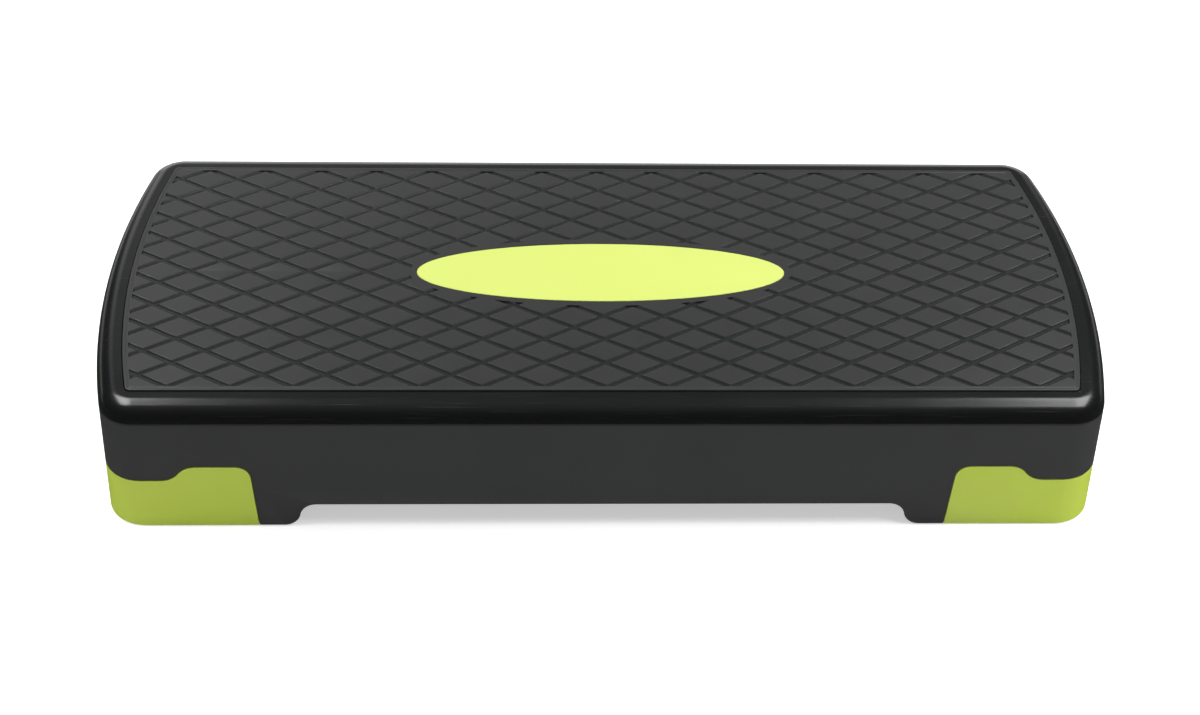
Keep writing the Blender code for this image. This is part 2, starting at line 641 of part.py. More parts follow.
def build_step():
    """Build every piece and hang it on its carrier."""
    black = material("black polypropylene", (0.012, 0.013, 0.013), 0.42)
    grey = material("grey tread rubber", (0.045, 0.047, 0.047), 0.70)
    lime = material("lime polypropylene", (0.57, 0.75, 0.073), 0.45)
    yellow_green = material("yellow-green polypropylene", (0.75, 0.90, 0.15), 0.45)
    dark = material("dark grey acetal", (0.10, 0.10, 0.11), 0.40)
    rubber = material("black rubber", (0.030, 0.030, 0.030), 0.85)
    steel = material("zinc plated steel", (0.60, 0.60, 0.58), 0.30, 1.0)

    deck = make_carrier("deck_frame", (0.0, 0.0, 0.0))
    finish(build_deck_shell(), black, (0.0, 0.0, RIM_TOP), deck)
    finish(build_tread_mat(), grey, (0.0, 0.0, HEIGHT), deck)
    finish(build_badge_plate(), yellow_green, (0.0, 0.0, HEIGHT), deck)

    risers = {}
    for end, sign in ENDS.items():
        centre = (sign * (FACE_EDGE + RISER_REACH / 2), 0.0, 0.0)
        risers[end] = make_carrier(f"{end}_riser_frame", centre)
        finish(build_riser(f"{end}_riser", sign), lime, centre, risers[end])

    for (end, face), (x, y) in deck_pad_places().items():
        pad = build_pad(f"{end}_{face}_deck_pad", x, y, DECK_PAD_WIDTH, DECK_PAD_LENGTH)
        finish(pad, rubber, (x, y, 0.0), deck)
    for (end, face), (x, y) in riser_pad_places().items():
        pad = build_pad(f"{end}_{face}_riser_pad", x, y, RISER_PAD_LENGTH, RISER_PAD_WIDTH)
        finish(pad, rubber, (x, y, 0.0), risers[end])

    for end, face, sign, y in lock_places():
        place = f"{end}_{face}"
        axis = (sign * BAR_OUTER, y, LOCK_HEIGHT)
        carrier = make_carrier(f"{place}_lock_frame", axis)
        finish(build_lock_slide(f"{place}_lock_slide", sign, y), dark, axis, carrier)
        finish(build_lock_cover(f"{place}_lock_cover", sign, y), black, (sign * SCREW_X, y, COVER_TOP), deck)
        for side_name, side in (("a", -1), ("b", 1)):
            x, screw_y = sign * SCREW_X, y + side * SCREW_PLACE
            screw = build_screw(f"{place}_cover_screw_{side_name}", x, screw_y)
            finish(screw, steel, (x, screw_y, COVER_BOTTOM), deck)


for leftover in list(bpy.data.objects):
    bpy.data.objects.remove(leftover)
build_step()
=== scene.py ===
"""Looks of the two-height aerobic step: a moulded deck with an inlaid tread mat and a bare oval
badge plate, on risers that slide out of its end bays and are held by lock slides.
Metres, +Z up, front towards -Y.
"""
import math

import bmesh
import bpy
from mathutils import Matrix, Vector


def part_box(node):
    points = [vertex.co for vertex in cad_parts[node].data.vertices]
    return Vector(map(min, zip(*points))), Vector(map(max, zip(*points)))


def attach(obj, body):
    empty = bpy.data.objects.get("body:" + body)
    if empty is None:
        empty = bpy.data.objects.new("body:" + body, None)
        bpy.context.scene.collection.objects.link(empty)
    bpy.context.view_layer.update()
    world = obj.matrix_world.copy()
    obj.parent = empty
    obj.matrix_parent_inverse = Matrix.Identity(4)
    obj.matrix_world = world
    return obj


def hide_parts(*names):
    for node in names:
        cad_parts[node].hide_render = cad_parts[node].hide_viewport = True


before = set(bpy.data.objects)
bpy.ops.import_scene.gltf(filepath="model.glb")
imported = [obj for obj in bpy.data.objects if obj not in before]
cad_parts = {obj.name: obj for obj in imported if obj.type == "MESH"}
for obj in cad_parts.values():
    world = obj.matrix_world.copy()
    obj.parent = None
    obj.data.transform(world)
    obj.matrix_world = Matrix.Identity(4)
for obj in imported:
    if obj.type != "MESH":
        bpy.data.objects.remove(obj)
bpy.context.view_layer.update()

# Boxes of the CAD pieces that the visual pieces are fitted to
SHELL_LOW, SHELL_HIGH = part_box("deck_shell")
RISER_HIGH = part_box("right_riser")[1]
MAT_LOW, MAT_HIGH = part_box("tread_mat")
BADGE_LOW, BADGE_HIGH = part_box("badge_plate")

# The photograph's camera: its place, its turn to the right, its dip and its roll, in metres and degrees
CAMERA_PLACE = Vector((-0.05283, -1.11347, 0.94840))
CAMERA_YAW = math.radians(2.7756)
CAMERA_DIP = math.radians(39.6740)
CAMERA_ROLL = math.radians(1.8180)
CAMERA_LENS = 61.312
SENSOR_WIDTH = 36.0

# The studio: a lit table, a white panel low behind, a dim ceiling, and a soft box high on each side.
# Where two values stand together, a fade runs from the first to the second
TABLE_FRONT = -0.60
TABLE_REACH = 4.0
TABLE_BEHIND = (0.2, 0.5)
TABLE_MIRRORED = (0.05, 0.7)
TABLE_FADE = (0.6, 1.6)
TABLE_LIFT = (0.50, 1.0)
PANEL_BRIGHT = 1.8
PANEL_SIDES = (0.35, 0.55)
PANEL_TOP = (0.15, 0.66)
PANEL_BEHIND = (0.0, 0.3)
PANEL_SLOPE = 0.25
CEILING = (0.45, 1.0)
CEILING_BRIGHT = 0.18
ROOM_DARK = 0.03
ROOM_LIGHT = 0.20
# Each box faces straight down: its centre, its size along the deck and across it, and its power
SOFT_BOXES = {
    "left_soft_box": ((-0.81, 0.17, 1.30), (0.48, 1.06), 17.2),
    "right_soft_box": ((0.945, 0.05, 1.30), (0.69, 1.34), 26.0),
}

# Deck form, as the solids have it
FLARE = math.tan(math.radians(2.0))
END_BOW = 0.018
CORNER_RADIUS = 0.0245
RIM_RADIUS = 0.0125
SKIRT_WALL = 0.003
TOP_PLATE = 0.003
HEIGHT = MAT_HIGH.z
RIM_TOP = SHELL_HIGH.z
FLOOR_CLEARANCE = SHELL_LOW.z
RIM_START = RIM_TOP - RIM_RADIUS
FOOT_FLARE = (RIM_START - FLOOR_CLEARANCE) * FLARE
HALF_LENGTH = RISER_HIGH.x - FOOT_FLARE
HALF_DEPTH = SHELL_HIGH.y - FOOT_FLARE
# Heights between which the skirt's grain turns into the rim's polish
POLISH_START = RIM_START - 0.0018
POLISH_END = RIM_START + 0.0006

# Arch between the feet, ribs and bulkheads
ARCH_HEIGHT = 0.0185
ARCH_CURVE_RUN = 0.0215
FOOT_WIDTH = 0.0162
FOOT_DEPTH = 0.038
RIB_THICKNESS = 0.0025
RIB_DEPTH = 0.032
RIB_PITCH = 0.060
BULKHEAD_THICKNESS = 0.003

# Tread mat: its own inset from the deck's outline, its lattice and its grooves
MAT_THICKNESS = MAT_HIGH.z - MAT_LOW.z
MAT_INSET = 0.0178
MAT_CORNER_RADIUS = 0.004
LATTICE_LENGTH = 0.03998
LATTICE_DEPTH = 0.02426
LATTICE_ROWS = 10
GROOVE_WIDTH = 0.0038
GROOVE_DEPTH = 0.0012
GROOVE_LIP = 0.0003
GROOVE_DRAFT = 0.0007
FIELD_TRIM = 0.0009
BORDER_WIDTH = 0.0027
BORDER_LINE_WIDTH = 0.0006
BORDER_LINE_DEPTH = 0.0002
FIELD_CORNER_RADIUS = 0.001
BADGE_RING = 0.0052
# Heights between which its flats turn into lips, and its groove walls into floors
LIP_START = HEIGHT - 0.000004
LIP_END = HEIGHT - 0.000015
WALL_END = HEIGHT - 0.0009
FLOOR_START = HEIGHT - 0.0011

# Risers
FACE_EDGE = HALF_LENGTH - 0.1111
FACE_LOW_TOP = 0.0395
FACE_TAB_TOP = 0.0509
FACE_SLANT = math.radians(3.6)
TAB_CORNER_RADIUS = 0.010
TAB_WIDTH = 0.038
TAB_CURVE_RUN = 0.023
TAB_LAP = 0.002
RISER_WALL = 0.0025
RISER_LEDGE = 0.003
BAND_INSET = 0.001
RISER_TRAVEL = 0.050
RISER_RIB_CLEARANCE = 0.002
SOLE_THICKNESS = 0.003
SOLE_DEPTH = 0.026
PEG_WIDTH = 0.006
PEG_HEIGHT = 0.036

# Fits, as the solids have them
PIECE_GAP = 0.0003
PARTING_GAP = 0.0004
SLIDE_GAP = 0.0005
LOCK_GAP = 0.0004

# Lock slides, their housings, covers and screws
BAR_THICKNESS = 0.0084
BAR_LEAD = 0.0015
KNOB_LENGTH = 0.008
KNOB_WIDTH = 0.012
KNOB_PLACE = 0.019
KNOB_CORNER_RADIUS = 0.003
KNOB_RIDGE_PITCH = 0.002
KNOB_RIDGE_WIDTH = 0.0008
KNOB_RIDGE_DEPTH = 0.0006
LOCK_TRAVEL = 0.008
HOUSING_WALL = 0.0025
COVER_CORNER_RADIUS = 0.002
COVER_LIP = 0.0006
COVER_LIP_WIDTH = 0.0012
SCREW_RADIUS = 0.0015
SCREW_HEAD_RADIUS = 0.0032
SCREW_HEAD_HEIGHT = 0.0020
CROSS_WIDTH = 0.0007
CROSS_REACH = 0.0017
CROSS_DEPTH = 0.0011
# Height of a screw head's upright rim, as a share of its dome's
HEAD_RIM = 0.35

# Rubber pads, grooved across their length
PAD_CORNER_RADIUS = 0.003
PAD_GROOVE_PITCH = 0.004
PAD_GROOVE_WIDTH = 0.0009
PAD_GROOVE_DEPTH = 0.0006
PAD_EDGE_RADIUS = 0.0004

# Rounded edges of the mouldings
EDGE_RADIUS = 0.0005
PARTING_RADIUS = 0.0003
SHARP_TURN = math.radians(35)
SMOOTH_TURN = math.radians(40)
MAT_EDGE_RADIUS = 0.0005
BADGE_EDGE_RADIUS = 0.0004
SMALL_EDGE_RADIUS = 0.0003

# Steps along the curves, and how far a cutter runs past what it cuts
CORNER_STEPS = 20
END_STEPS = 56
RIM_STEPS = 18
CURVE_STEPS = 10
LIP_STEPS = 4
BADGE_STEPS = 144
TURNED_STEPS = 24
MARGIN = 0.005
FAR = 2 * HALF_LENGTH

# Heights and places that follow from the sizes above
POCKET_FLOOR = HEIGHT - MAT_THICKNESS - PIECE_GAP
PLATE_UNDERSIDE = POCKET_FLOOR - TOP_PLATE
RIB_BOTTOM = PLATE_UNDERSIDE - RIB_DEPTH
BULKHEAD_INNER = FACE_EDGE - BULKHEAD_THICKNESS
FOOT_INNER = FACE_EDGE - FOOT_WIDTH
SLEEVE_INNER = FACE_EDGE + SLIDE_GAP
SLEEVE_INSET = SKIRT_WALL + SLIDE_GAP
RISER_TOP = PLATE_UNDERSIDE - PIECE_GAP
SOLE_TOP = FLOOR_CLEARANCE + SOLE_THICKNESS

# Sign of each end along X and of each face along Y
ENDS = {"left": -1, "right": 1}
FACES = {"front": -1, "rear": 1}

# Face indexes while a piece is made: its outer skin, whose meetings with cuts are rounded, and the cuts
SKIN = 0
CUT = 1


def add_node(tree, kind, settings=None, links=None):
    """Add a node to a shader or geometry tree, set its properties and sockets, and link its inputs.

    A link comes from an output socket, or from a node whose first output is meant.
    """
    node = tree.nodes.new(kind)
    for key, value in (settings or {}).items():
        if isinstance(key, str) and hasattr(node, key):
            setattr(node, key, value)
        else:
            node.inputs[key].default_value = value
    for key, source in (links or {}).items():
        tree.links.new(getattr(source, "outputs", [source])[0], node.inputs[key])
    return node


def linear(colour):
    """An sRGB hex colour as linear red, green, blue and alpha."""
    values = []
    for start in (1, 3, 5):
        value = int(colour[start:start + 2], 16) / 255
        values.append(value / 12.92 if value <= 0.04045 else ((value + 0.055) / 1.055) ** 2.4)
    return (*values, 1.0)


def arc(centre_x, centre_y, radius, start, end, steps):
    """Points along an arc, both ends included."""
    turns = [start + (end - start) * step / steps for step in range(steps + 1)]
    return [(centre_x + radius * math.cos(turn), centre_y + radius * math.sin(turn)) for turn in turns]


def plan_outline(inset=0.0, corner=None):
    """The deck's outline moved inwards, anticlockwise from above."""
    full_radius = (HALF_DEPTH ** 2 + END_BOW ** 2) / (2 * END_BOW)
    end_centre = HALF_LENGTH - full_radius
    end_radius = full_radius - inset
    corner_radius = CORNER_RADIUS - inset if corner is None else corner
    corner_y = HALF_DEPTH - inset - corner_radius
    corner_x = end_centre + math.sqrt((end_radius - corner_radius) ** 2 - corner_y ** 2)
    turn = math.atan2(corner_y, corner_x - end_centre)
    half = arc(corner_x, -corner_y, corner_radius, -math.pi / 2, -turn, CORNER_STEPS)
    half += arc(end_centre, 0.0, end_radius, -turn, turn, END_STEPS)[1:-1]
    half += arc(corner_x, corner_y, corner_radius, turn, math.pi / 2, CORNER_STEPS)
    return half + [(-x, -y) for x, y in half]


def circle(centre, radius):
    """A circle of a turned part or of its hole, anticlockwise."""
    return arc(centre.x, centre.y, radius, 0.0, 2 * math.pi, TURNED_STEPS)[:-1]


def rounded_rectangle(centre_x, centre_y, size_x, size_y, radius):
    """A rectangle with round corners, anticlockwise."""
    points = []
    for quarter, (sign_x, sign_y) in enumerate(((1, 1), (-1, 1), (-1, -1), (1, -1))):
        corner_x = centre_x + sign_x * (size_x / 2 - radius)
        corner_y = centre_y + sign_y * (size_y / 2 - radius)
        start = quarter * math.pi / 2
        points += arc(corner_x, corner_y, radius, start, start + math.pi / 2, CURVE_STEPS)
    return points


def box_outline(low, high, growth, radius):
    """Outline of a CAD box from above, grown by so much on every side, with round corners."""
    size = high - low
    middle = (low + high) / 2
    return rounded_rectangle(middle.x, middle.y, size.x + 2 * growth, size.y + 2 * growth, radius + growth)


def badge_outline(growth=0.0):
    """The badge plate's oval, grown by so much on every side, anticlockwise."""
    half_length, half_depth = BADGE_HIGH.x + growth, BADGE_HIGH.y + growth
    turns = [2 * math.pi * step / BADGE_STEPS for step in range(BADGE_STEPS)]
    return [(half_length * math.cos(turn), half_depth * math.sin(turn)) for turn in turns]


def rounding(radius, steps=LIP_STEPS):
    """How far inwards and how far up each step over a rounded edge lies, from upright to level."""
    turns = [math.pi / 2 * step / steps for step in range(steps + 1)]
    return [(radius * (1 - math.cos(turn)), radius * math.sin(turn)) for turn in turns]


def wave(start_x, start_z, run, drop, offset=0.0):
    """Two equal arcs that leave level, fall by drop over run and end level, moved down by offset."""
    bend = 2 * math.atan2(drop, run)
    radius = run / (2 * math.sin(bend))
    level = math.pi / 2
    upper = arc(start_x, start_z - radius, radius - offset, level, level - bend, CURVE_STEPS)
    low_z = start_z - drop + radius
    lower = arc(start_x + run, low_z, radius + offset, -level - bend, -level, CURVE_STEPS)
    return upper + lower[1:]


def face_edge_x(height):
    """Where the riser's face meets the deck's foot; it slants outwards as it rises."""
    return FACE_EDGE + height * math.tan(FACE_SLANT)


def face_outline(gap):
    """Outline in x and z of a riser's face: up the slanted edge, over the tab and out past the end."""
    centre_z = FACE_TAB_TOP - TAB_CORNER_RADIUS
    centre_x = FACE_EDGE + (TAB_CORNER_RADIUS + centre_z * math.sin(FACE_SLANT)) / math.cos(FACE_SLANT)
    points = [(face_edge_x(-MARGIN) + gap / math.cos(FACE_SLANT), -MARGIN)]
    turn = math.pi - FACE_SLANT
    points += arc(centre_x, centre_z, TAB_CORNER_RADIUS - gap, turn, math.pi / 2, CURVE_STEPS)
    drop = FACE_TAB_TOP - FACE_LOW_TOP
    points += wave(FACE_EDGE + TAB_WIDTH, FACE_TAB_TOP, TAB_CURVE_RUN, drop, gap)
    return points + [(FAR, FACE_LOW_TOP - gap), (FAR, -MARGIN)]


def arch_outline():
    """Outline in x and z of the gap between the deck's feet."""
    side = wave(FOOT_INNER - ARCH_CURVE_RUN, ARCH_HEIGHT, ARCH_CURVE_RUN, ARCH_HEIGHT - FLOOR_CLEARANCE)
    half = [*side, (FOOT_INNER, -MARGIN)]
    return half + [(-x, z) for x, z in reversed(half)]


def rib_places(low, high):
    """Evenly spaced places for ribs between two walls, about a rib pitch apart."""
    bays = max(2, round((high - low) / RIB_PITCH))
    return [low + (high - low) * bay / bays for bay in range(1, bays)]


def make_object(name, bm, index=SKIN):
    """An object of this mesh, faces pointing out, all with one face index."""
    bmesh.ops.recalc_face_normals(bm, faces=bm.faces)
    for face in bm.faces:
        face.material_index = index
    mesh = bpy.data.meshes.new(name)
    mesh.materials.append(None)
    mesh.materials.append(None)
    bm.to_mesh(mesh)
    bm.free()
    piece = bpy.data.objects.new(name, mesh)
    bpy.context.scene.collection.objects.link(piece)
    return piece


def add_loft(bm, rings):
    """Add a closed body through rings of equally many points."""
    loops = [[bm.verts.new(point) for point in ring] for ring in rings]
    for lower, upper in zip(loops, loops[1:]):
        for index, start in enumerate(lower):
            after = (index + 1) % len(lower)
            bm.faces.new((start, lower[after], upper[after], upper[index]))
    bm.faces.new(loops[0][::-1])
    bm.faces.new(loops[-1])


def lofts(name, bodies, index=SKIN):
    """One object of several closed bodies that don't touch, each given by its rings."""
    bm = bmesh.new()
    for rings in bodies:
        add_loft(bm, rings)
    return make_object(name, bm, index)


def ring_at(outline, height):
    """A ring of a plan outline at this height."""
    return [(x, y, height) for x, y in outline]


def raised(outline, low, high):
    """Rings of a plan outline raised from low to high."""
    return [ring_at(outline, low), ring_at(outline, high)]


def crosswise(outline, end=1):
    """Rings of an outline in x and z run past the whole deck, mirrored for the left end."""
    return [[(end * x, y, z) for x, z in outline] for y in (-FAR, FAR)]


def box(low, high):
    """Rings of a box between two opposite corners, in any order."""
    outline = [(low[0], low[1]), (high[0], low[1]), (high[0], high[1]), (low[0], high[1])]
    return raised(outline, low[2], high[2])


def skirt_rings(inset, low, high):
    """Rings of the flared skirt between two heights, moved inwards by inset."""
    return [ring_at(plan_outline(inset - (RIM_START - z) * FLARE), z) for z in (low, high)]


def plain_copy(piece):
    """The piece's mesh with its modifiers applied."""
    view = bpy.context.evaluated_depsgraph_get()
    before = piece.data
    piece.data = bpy.data.meshes.new_from_object(piece.evaluated_get(view))
    piece.modifiers.clear()
    if before.users == 0:
        bpy.data.meshes.remove(before)


def apply_tool(piece, tool, operation="DIFFERENCE"):
    """Cut, join or intersect piece with tool, and use the tool up."""
    modifier = piece.modifiers.new(operation.title(), "BOOLEAN")
    modifier.operation = operation
    modifier.solver = "EXACT"
    modifier.object = tool
    plain_copy(piece)
    bpy.data.objects.remove(tool)


def cut(piece, name, bodies, operation="DIFFERENCE", index=CUT):
    """Cut, join or intersect piece with closed bodies, each given by its rings."""
    apply_tool(piece, lofts(name, bodies, index), operation)


def soften_edges(piece, radius, segments=3):
    """Round the sharp edges where the outer skin meets a cut."""
    bm = bmesh.new()
    bm.from_mesh(piece.data)
    bmesh.ops.dissolve_degenerate(bm, dist=1e-6, edges=bm.edges)
    chosen = []
    for edge in bm.edges:
        if len(edge.link_faces) == 2 and edge.calc_face_angle() > SHARP_TURN:
            if SKIN in {face.material_index for face in edge.link_faces}:
                chosen.append(edge)
    bmesh.ops.bevel(
        bm, geom=chosen, offset=radius, offset_type="OFFSET", segments=segments, profile=0.5,
        affect="EDGES", clamp_overlap=False, material=-1, miter_outer="SHARP",
    )
    bm.to_mesh(piece.data)
    bm.free()


def shade(piece):
    """Shade smooth between sharp edges, with each large face keeping its own normal."""
    piece.data.shade_smooth()
    piece.data.set_sharp_from_angle(angle=SMOOTH_TURN)
    weighting = piece.modifiers.new("Weighted normals", "WEIGHTED_NORMAL")
    weighting.keep_sharp = True
    plain_copy(piece)


def dress(piece, surface, body, slot, *nodes):
    """Give a finished piece its material and its body, and hide the CAD nodes that it stands for; the
    record slot is not used.
    """
    mesh = piece.data
    mesh.name = piece.name
    mesh.polygons.foreach_set("material_index", [0] * len(mesh.polygons))
    mesh.materials.clear()
    mesh.materials.append(surface)
    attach(piece, body)
    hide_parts(*nodes)


def lock_parts():
    """Sign of the end, and the boxes of the slide and the cover, by the name of each lock."""
    parts = {}
    for end_name, end in ENDS.items():
        for face_name in FACES:
            name = f"{end_name}_{face_name}"
            parts[name] = (end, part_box(f"{name}_lock_slide"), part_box(f"{name}_lock_cover"))
    return parts


def screw_centres():
    """Centre of each cover screw's box."""
    names = [f"{lock}_cover_screw_{side}" for lock in lock_parts() for side in ("a", "b")]
    return {name: sum(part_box(name), Vector()) / 2 for name in names}


def pad_names(kind, ends=ENDS):
    """Names of the CAD pads under the deck or the risers."""
    return [f"{end}_{face}_{kind}_pad" for end in ends for face in FACES]


def pad_pocket(name):
    """Rings of the shallow pocket that a pad sits in."""
    low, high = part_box(name)
    return raised(box_outline(low, high, PIECE_GAP, PAD_CORNER_RADIUS), -MARGIN, high.z + PIECE_GAP)


def deck_rings():
    """Rings of the deck's outer form, from the skirt's foot over the rounded rim to the flat top."""
    rings = [skirt_rings(0.0, FLOOR_CLEARANCE, RIM_START)[0]]
    for inwards, rise in rounding(RIM_RADIUS, RIM_STEPS):
        rings.append(ring_at(plan_outline(inwards), RIM_START + rise))
    return rings


def mat_pocket_rings():
    """Rings of the cutter for the mat's pocket in the deck, which also rounds its lip."""
    inset, corner = MAT_INSET - PIECE_GAP, MAT_CORNER_RADIUS + PIECE_GAP
    bands = [(0.0, POCKET_FLOOR)]
    bands += [(out, RIM_TOP - EDGE_RADIUS + rise) for out, rise in rounding(EDGE_RADIUS, CURVE_STEPS // 2)]
    bands.append((EDGE_RADIUS, RIM_TOP + MARGIN))
    return [ring_at(plan_outline(inset - out, corner + out), height) for out, height in bands]


def deck_hollow():
    """The space under the deck's top, less its bulkheads, ribs and feet."""
    hollow = lofts("deck_hollow", [raised(plan_outline(SKIRT_WALL), -MARGIN, PLATE_UNDERSIDE)], CUT)
    floor, ceiling = -2 * MARGIN, PLATE_UNDERSIDE + MARGIN
    half = RIB_THICKNESS / 2
    places = rib_places(-BULKHEAD_INNER, BULKHEAD_INNER)
    ribs = [box((x - half, -FAR, RIB_BOTTOM), (x + half, FAR, ceiling)) for x in places]
    cut(hollow, "cross_ribs", ribs)
    reach = (BULKHEAD_INNER + FACE_EDGE) / 2
    places = rib_places(-HALF_DEPTH + SKIRT_WALL, HALF_DEPTH - SKIRT_WALL)
    ribs = [box((-reach, y - half, RIB_BOTTOM), (reach, y + half, ceiling)) for y in places]
    cut(hollow, "long_ribs", ribs)
    walls, soles, foot_ribs = [], [], []
    for end in ENDS.values():
        walls.append(box((end * BULKHEAD_INNER, -FAR, floor), (end * FACE_EDGE, FAR, ceiling)))
        for face in FACES.values():
            foot_y = face * (HALF_DEPTH - FOOT_DEPTH)
            low = (end * FOOT_INNER, foot_y, floor)
            soles.append(box(low, (end * reach, face * FAR, SOLE_TOP)))
            foot_ribs.append(box(low, (end * (FOOT_INNER + RIB_THICKNESS), face * FAR, ceiling)))
    cut(hollow, "bulkheads", walls)
    cut(hollow, "foot_soles", soles)
    cut(hollow, "foot_ribs", foot_ribs)
    housings = []
    for end, (_, slide_high), (cover_low, cover_high) in lock_parts().values():
        inner = min(abs(cover_low.x), abs(cover_high.x))
        low = (end * inner, cover_low.y, cover_high.z + PIECE_GAP)
        high = (end * reach, cover_high.y, slide_high.z + PIECE_GAP + HOUSING_WALL)
        housings.append(box(low, high))
    cut(hollow, "lock_housings", housings)
    return hollow


def cut_lock_channels(deck):
    """Cut each lock's channel, its window in the bulkhead and its screw holes."""
    channels, windows, holes = [], [], []
    for end, (slide_low, slide_high), (cover_low, cover_high) in lock_parts().values():
        inner = min(abs(cover_low.x), abs(cover_high.x)) + HOUSING_WALL
        low_y, high_y = slide_low.y - LOCK_GAP, slide_high.y + LOCK_GAP
        top = slide_high.z + PIECE_GAP
        bottom = cover_high.z + PIECE_GAP
        channels.append(box((end * inner, low_y, bottom - MARGIN), (end * BULKHEAD_INNER, high_y, top)))
        low = (end * (BULKHEAD_INNER - PIECE_GAP), low_y, bottom - LOCK_GAP)
        windows.append(box(low, (end * (FACE_EDGE + PIECE_GAP), high_y, top)))
    for name, centre in screw_centres().items():
        low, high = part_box(name)
        outline = circle(centre, SCREW_RADIUS + PIECE_GAP)
        holes.append(raised(outline, low.z - MARGIN, high.z + PIECE_GAP))
    cut(deck, "lock_channels", channels)
    cut(deck, "bar_windows", windows)
    cut(deck, "screw_holes", holes)


def add_stop_pegs(deck):
    """Pegs on the bulkheads that stop the risers at both ends of their travel."""
    half = PEG_WIDTH / 2
    pegs = []
    for end in ENDS.values():
        low = (end * (FACE_EDGE - BULKHEAD_THICKNESS / 2), -half, PEG_HEIGHT - half)
        pegs.append(box(low, (end * (SLEEVE_INNER + RISER_WALL), half, PEG_HEIGHT + half)))
    cut(deck, "stop_pegs", pegs, "UNION")


def build_deck():
    """The moulded deck with its pocket for the mat, its arches and its bays for the risers."""
    deck = lofts("deck_body", [deck_rings()])
    cut(deck, "mat_pocket", [mat_pocket_rings()])
    apply_tool(deck, deck_hollow())
    cut(deck, "arch", [crosswise(arch_outline())])
    openings, passages = [], []
    foot_y = HALF_DEPTH - FOOT_DEPTH
    for end in ENDS.values():
        low_edge = [(face_edge_x(-MARGIN), -MARGIN), (face_edge_x(FACE_LOW_TOP), FACE_LOW_TOP)]
        openings.append(crosswise([*low_edge, (FAR, FACE_LOW_TOP), (FAR, -MARGIN)], end))
        low = (end * (BULKHEAD_INNER - PIECE_GAP), -foot_y, -MARGIN)
        passages.append(box(low, (end * (FACE_EDGE + PIECE_GAP), foot_y, ARCH_HEIGHT)))
    cut(deck, "bulkhead_arches", passages)
    cut(deck, "riser_openings", openings)
    for end in ENDS.values():
        lap = lofts("tab_lap", [crosswise(face_outline(0.0), end)], CUT)
        cut(lap, "lap_floor", [skirt_rings(TAB_LAP, -2 * MARGIN, RIM_START)])
        apply_tool(deck, lap)
    cut_lock_channels(deck)
    add_stop_pegs(deck)
    cut(deck, "pad_pockets", [pad_pocket(name) for name in pad_names("deck")])
    soften_edges(deck, EDGE_RADIUS)
    shade(deck)
    return deck


def run_tree(piece, tree, values):
    """Run a geometry tree on the piece with its named inputs, and keep the plain mesh that it makes."""
    modifier = piece.modifiers.new(tree.name, "NODES")
    modifier.node_group = tree
    for socket in tree.interface.items_tree:
        if socket.in_out == "INPUT" and socket.name in values:
            modifier[socket.identifier] = values[socket.name]
    plain_copy(piece)


def new_tree(name, inputs):
    """A geometry tree with named inputs, of which Geometry and Material are always there."""
    tree = bpy.data.node_groups.new(name, "GeometryNodeTree")
    tree.interface.new_socket("Geometry", in_out="OUTPUT", socket_type="NodeSocketGeometry")
    for label, kind in {"Geometry": "Geometry", "Material": "Material", **inputs}.items():
        tree.interface.new_socket(label, in_out="INPUT", socket_type=f"NodeSocket{kind}")
    return tree, add_node(tree, "NodeGroupInput")


def end_tree(tree, start, form):
    """Make a tree's instances real, give them the material and hand them out."""
    real = add_node(tree, "GeometryNodeRealizeInstances", {}, {0: form})
    painted = add_node(tree, "GeometryNodeSetMaterial", {}, {
        "Geometry": real, "Material": start.outputs["Material"]})
    add_node(tree, "NodeGroupOutput", {}, {0: painted})
    return tree


def bar_row(tree, start, first, step, turn):
    """A tree's bars in a row, from a first place by equal steps, each turned about Z."""
    line = add_node(tree, "GeometryNodeMeshLine", {"mode": "OFFSET"}, {
        "Count": start.outputs["Bars"], "Start Location": first, "Offset": step})
    bar = add_node(tree, "GeometryNodeObjectInfo", {}, {"Object": start.outputs["Bar"]})
    turned = add_node(tree, "ShaderNodeCombineXYZ", {}, {"Z": turn})
    bars = add_node(tree, "GeometryNodeInstanceOnPoints", {}, {
        "Points": line, "Instance": bar.outputs["Geometry"], "Rotation": turned})
    return add_node(tree, "GeometryNodeRealizeInstances", {}, {0: bars})


def groove_tree():
    """Two crossing sets of groove bars, kept to the field and cut from the mat."""
    tree, start = new_tree("Tread grooves", {
        "Bar": "Object", "Field": "Object", "Bars": "Int", "Pitch": "Float", "Slant": "Float"})
    back = add_node(tree, "ShaderNodeMath", {"operation": "MULTIPLY_ADD", 1: -0.5, 2: 0.5}, {
        0: start.outputs["Bars"]})
    first = add_node(tree, "ShaderNodeMath", {"operation": "MULTIPLY"}, {
        0: back, 1: start.outputs["Pitch"]})
    place = add_node(tree, "ShaderNodeCombineXYZ", {}, {"X": first})
    step = add_node(tree, "ShaderNodeCombineXYZ", {}, {"X": start.outputs["Pitch"]})
    field = add_node(tree, "GeometryNodeObjectInfo", {}, {"Object": start.outputs["Field"]})
    grooved = add_node(tree, "GeometryNodeMeshBoolean", {"operation": "DIFFERENCE", "solver": "EXACT"}, {
        "Mesh 1": start.outputs["Geometry"]})
    for sign in (-1, 1):
        slant = add_node(tree, "ShaderNodeMath", {"operation": "MULTIPLY", 1: sign}, {
            0: start.outputs["Slant"]})
        kept = add_node(tree, "GeometryNodeMeshBoolean", {"operation": "INTERSECT", "solver": "EXACT"}, {
            "Mesh 2": bar_row(tree, start, place, step, slant)})
        tree.links.new(field.outputs["Geometry"], kept.inputs["Mesh 2"])
        tree.links.new(kept.outputs[0], grooved.inputs["Mesh 2"])
    return end_tree(tree, start, grooved)


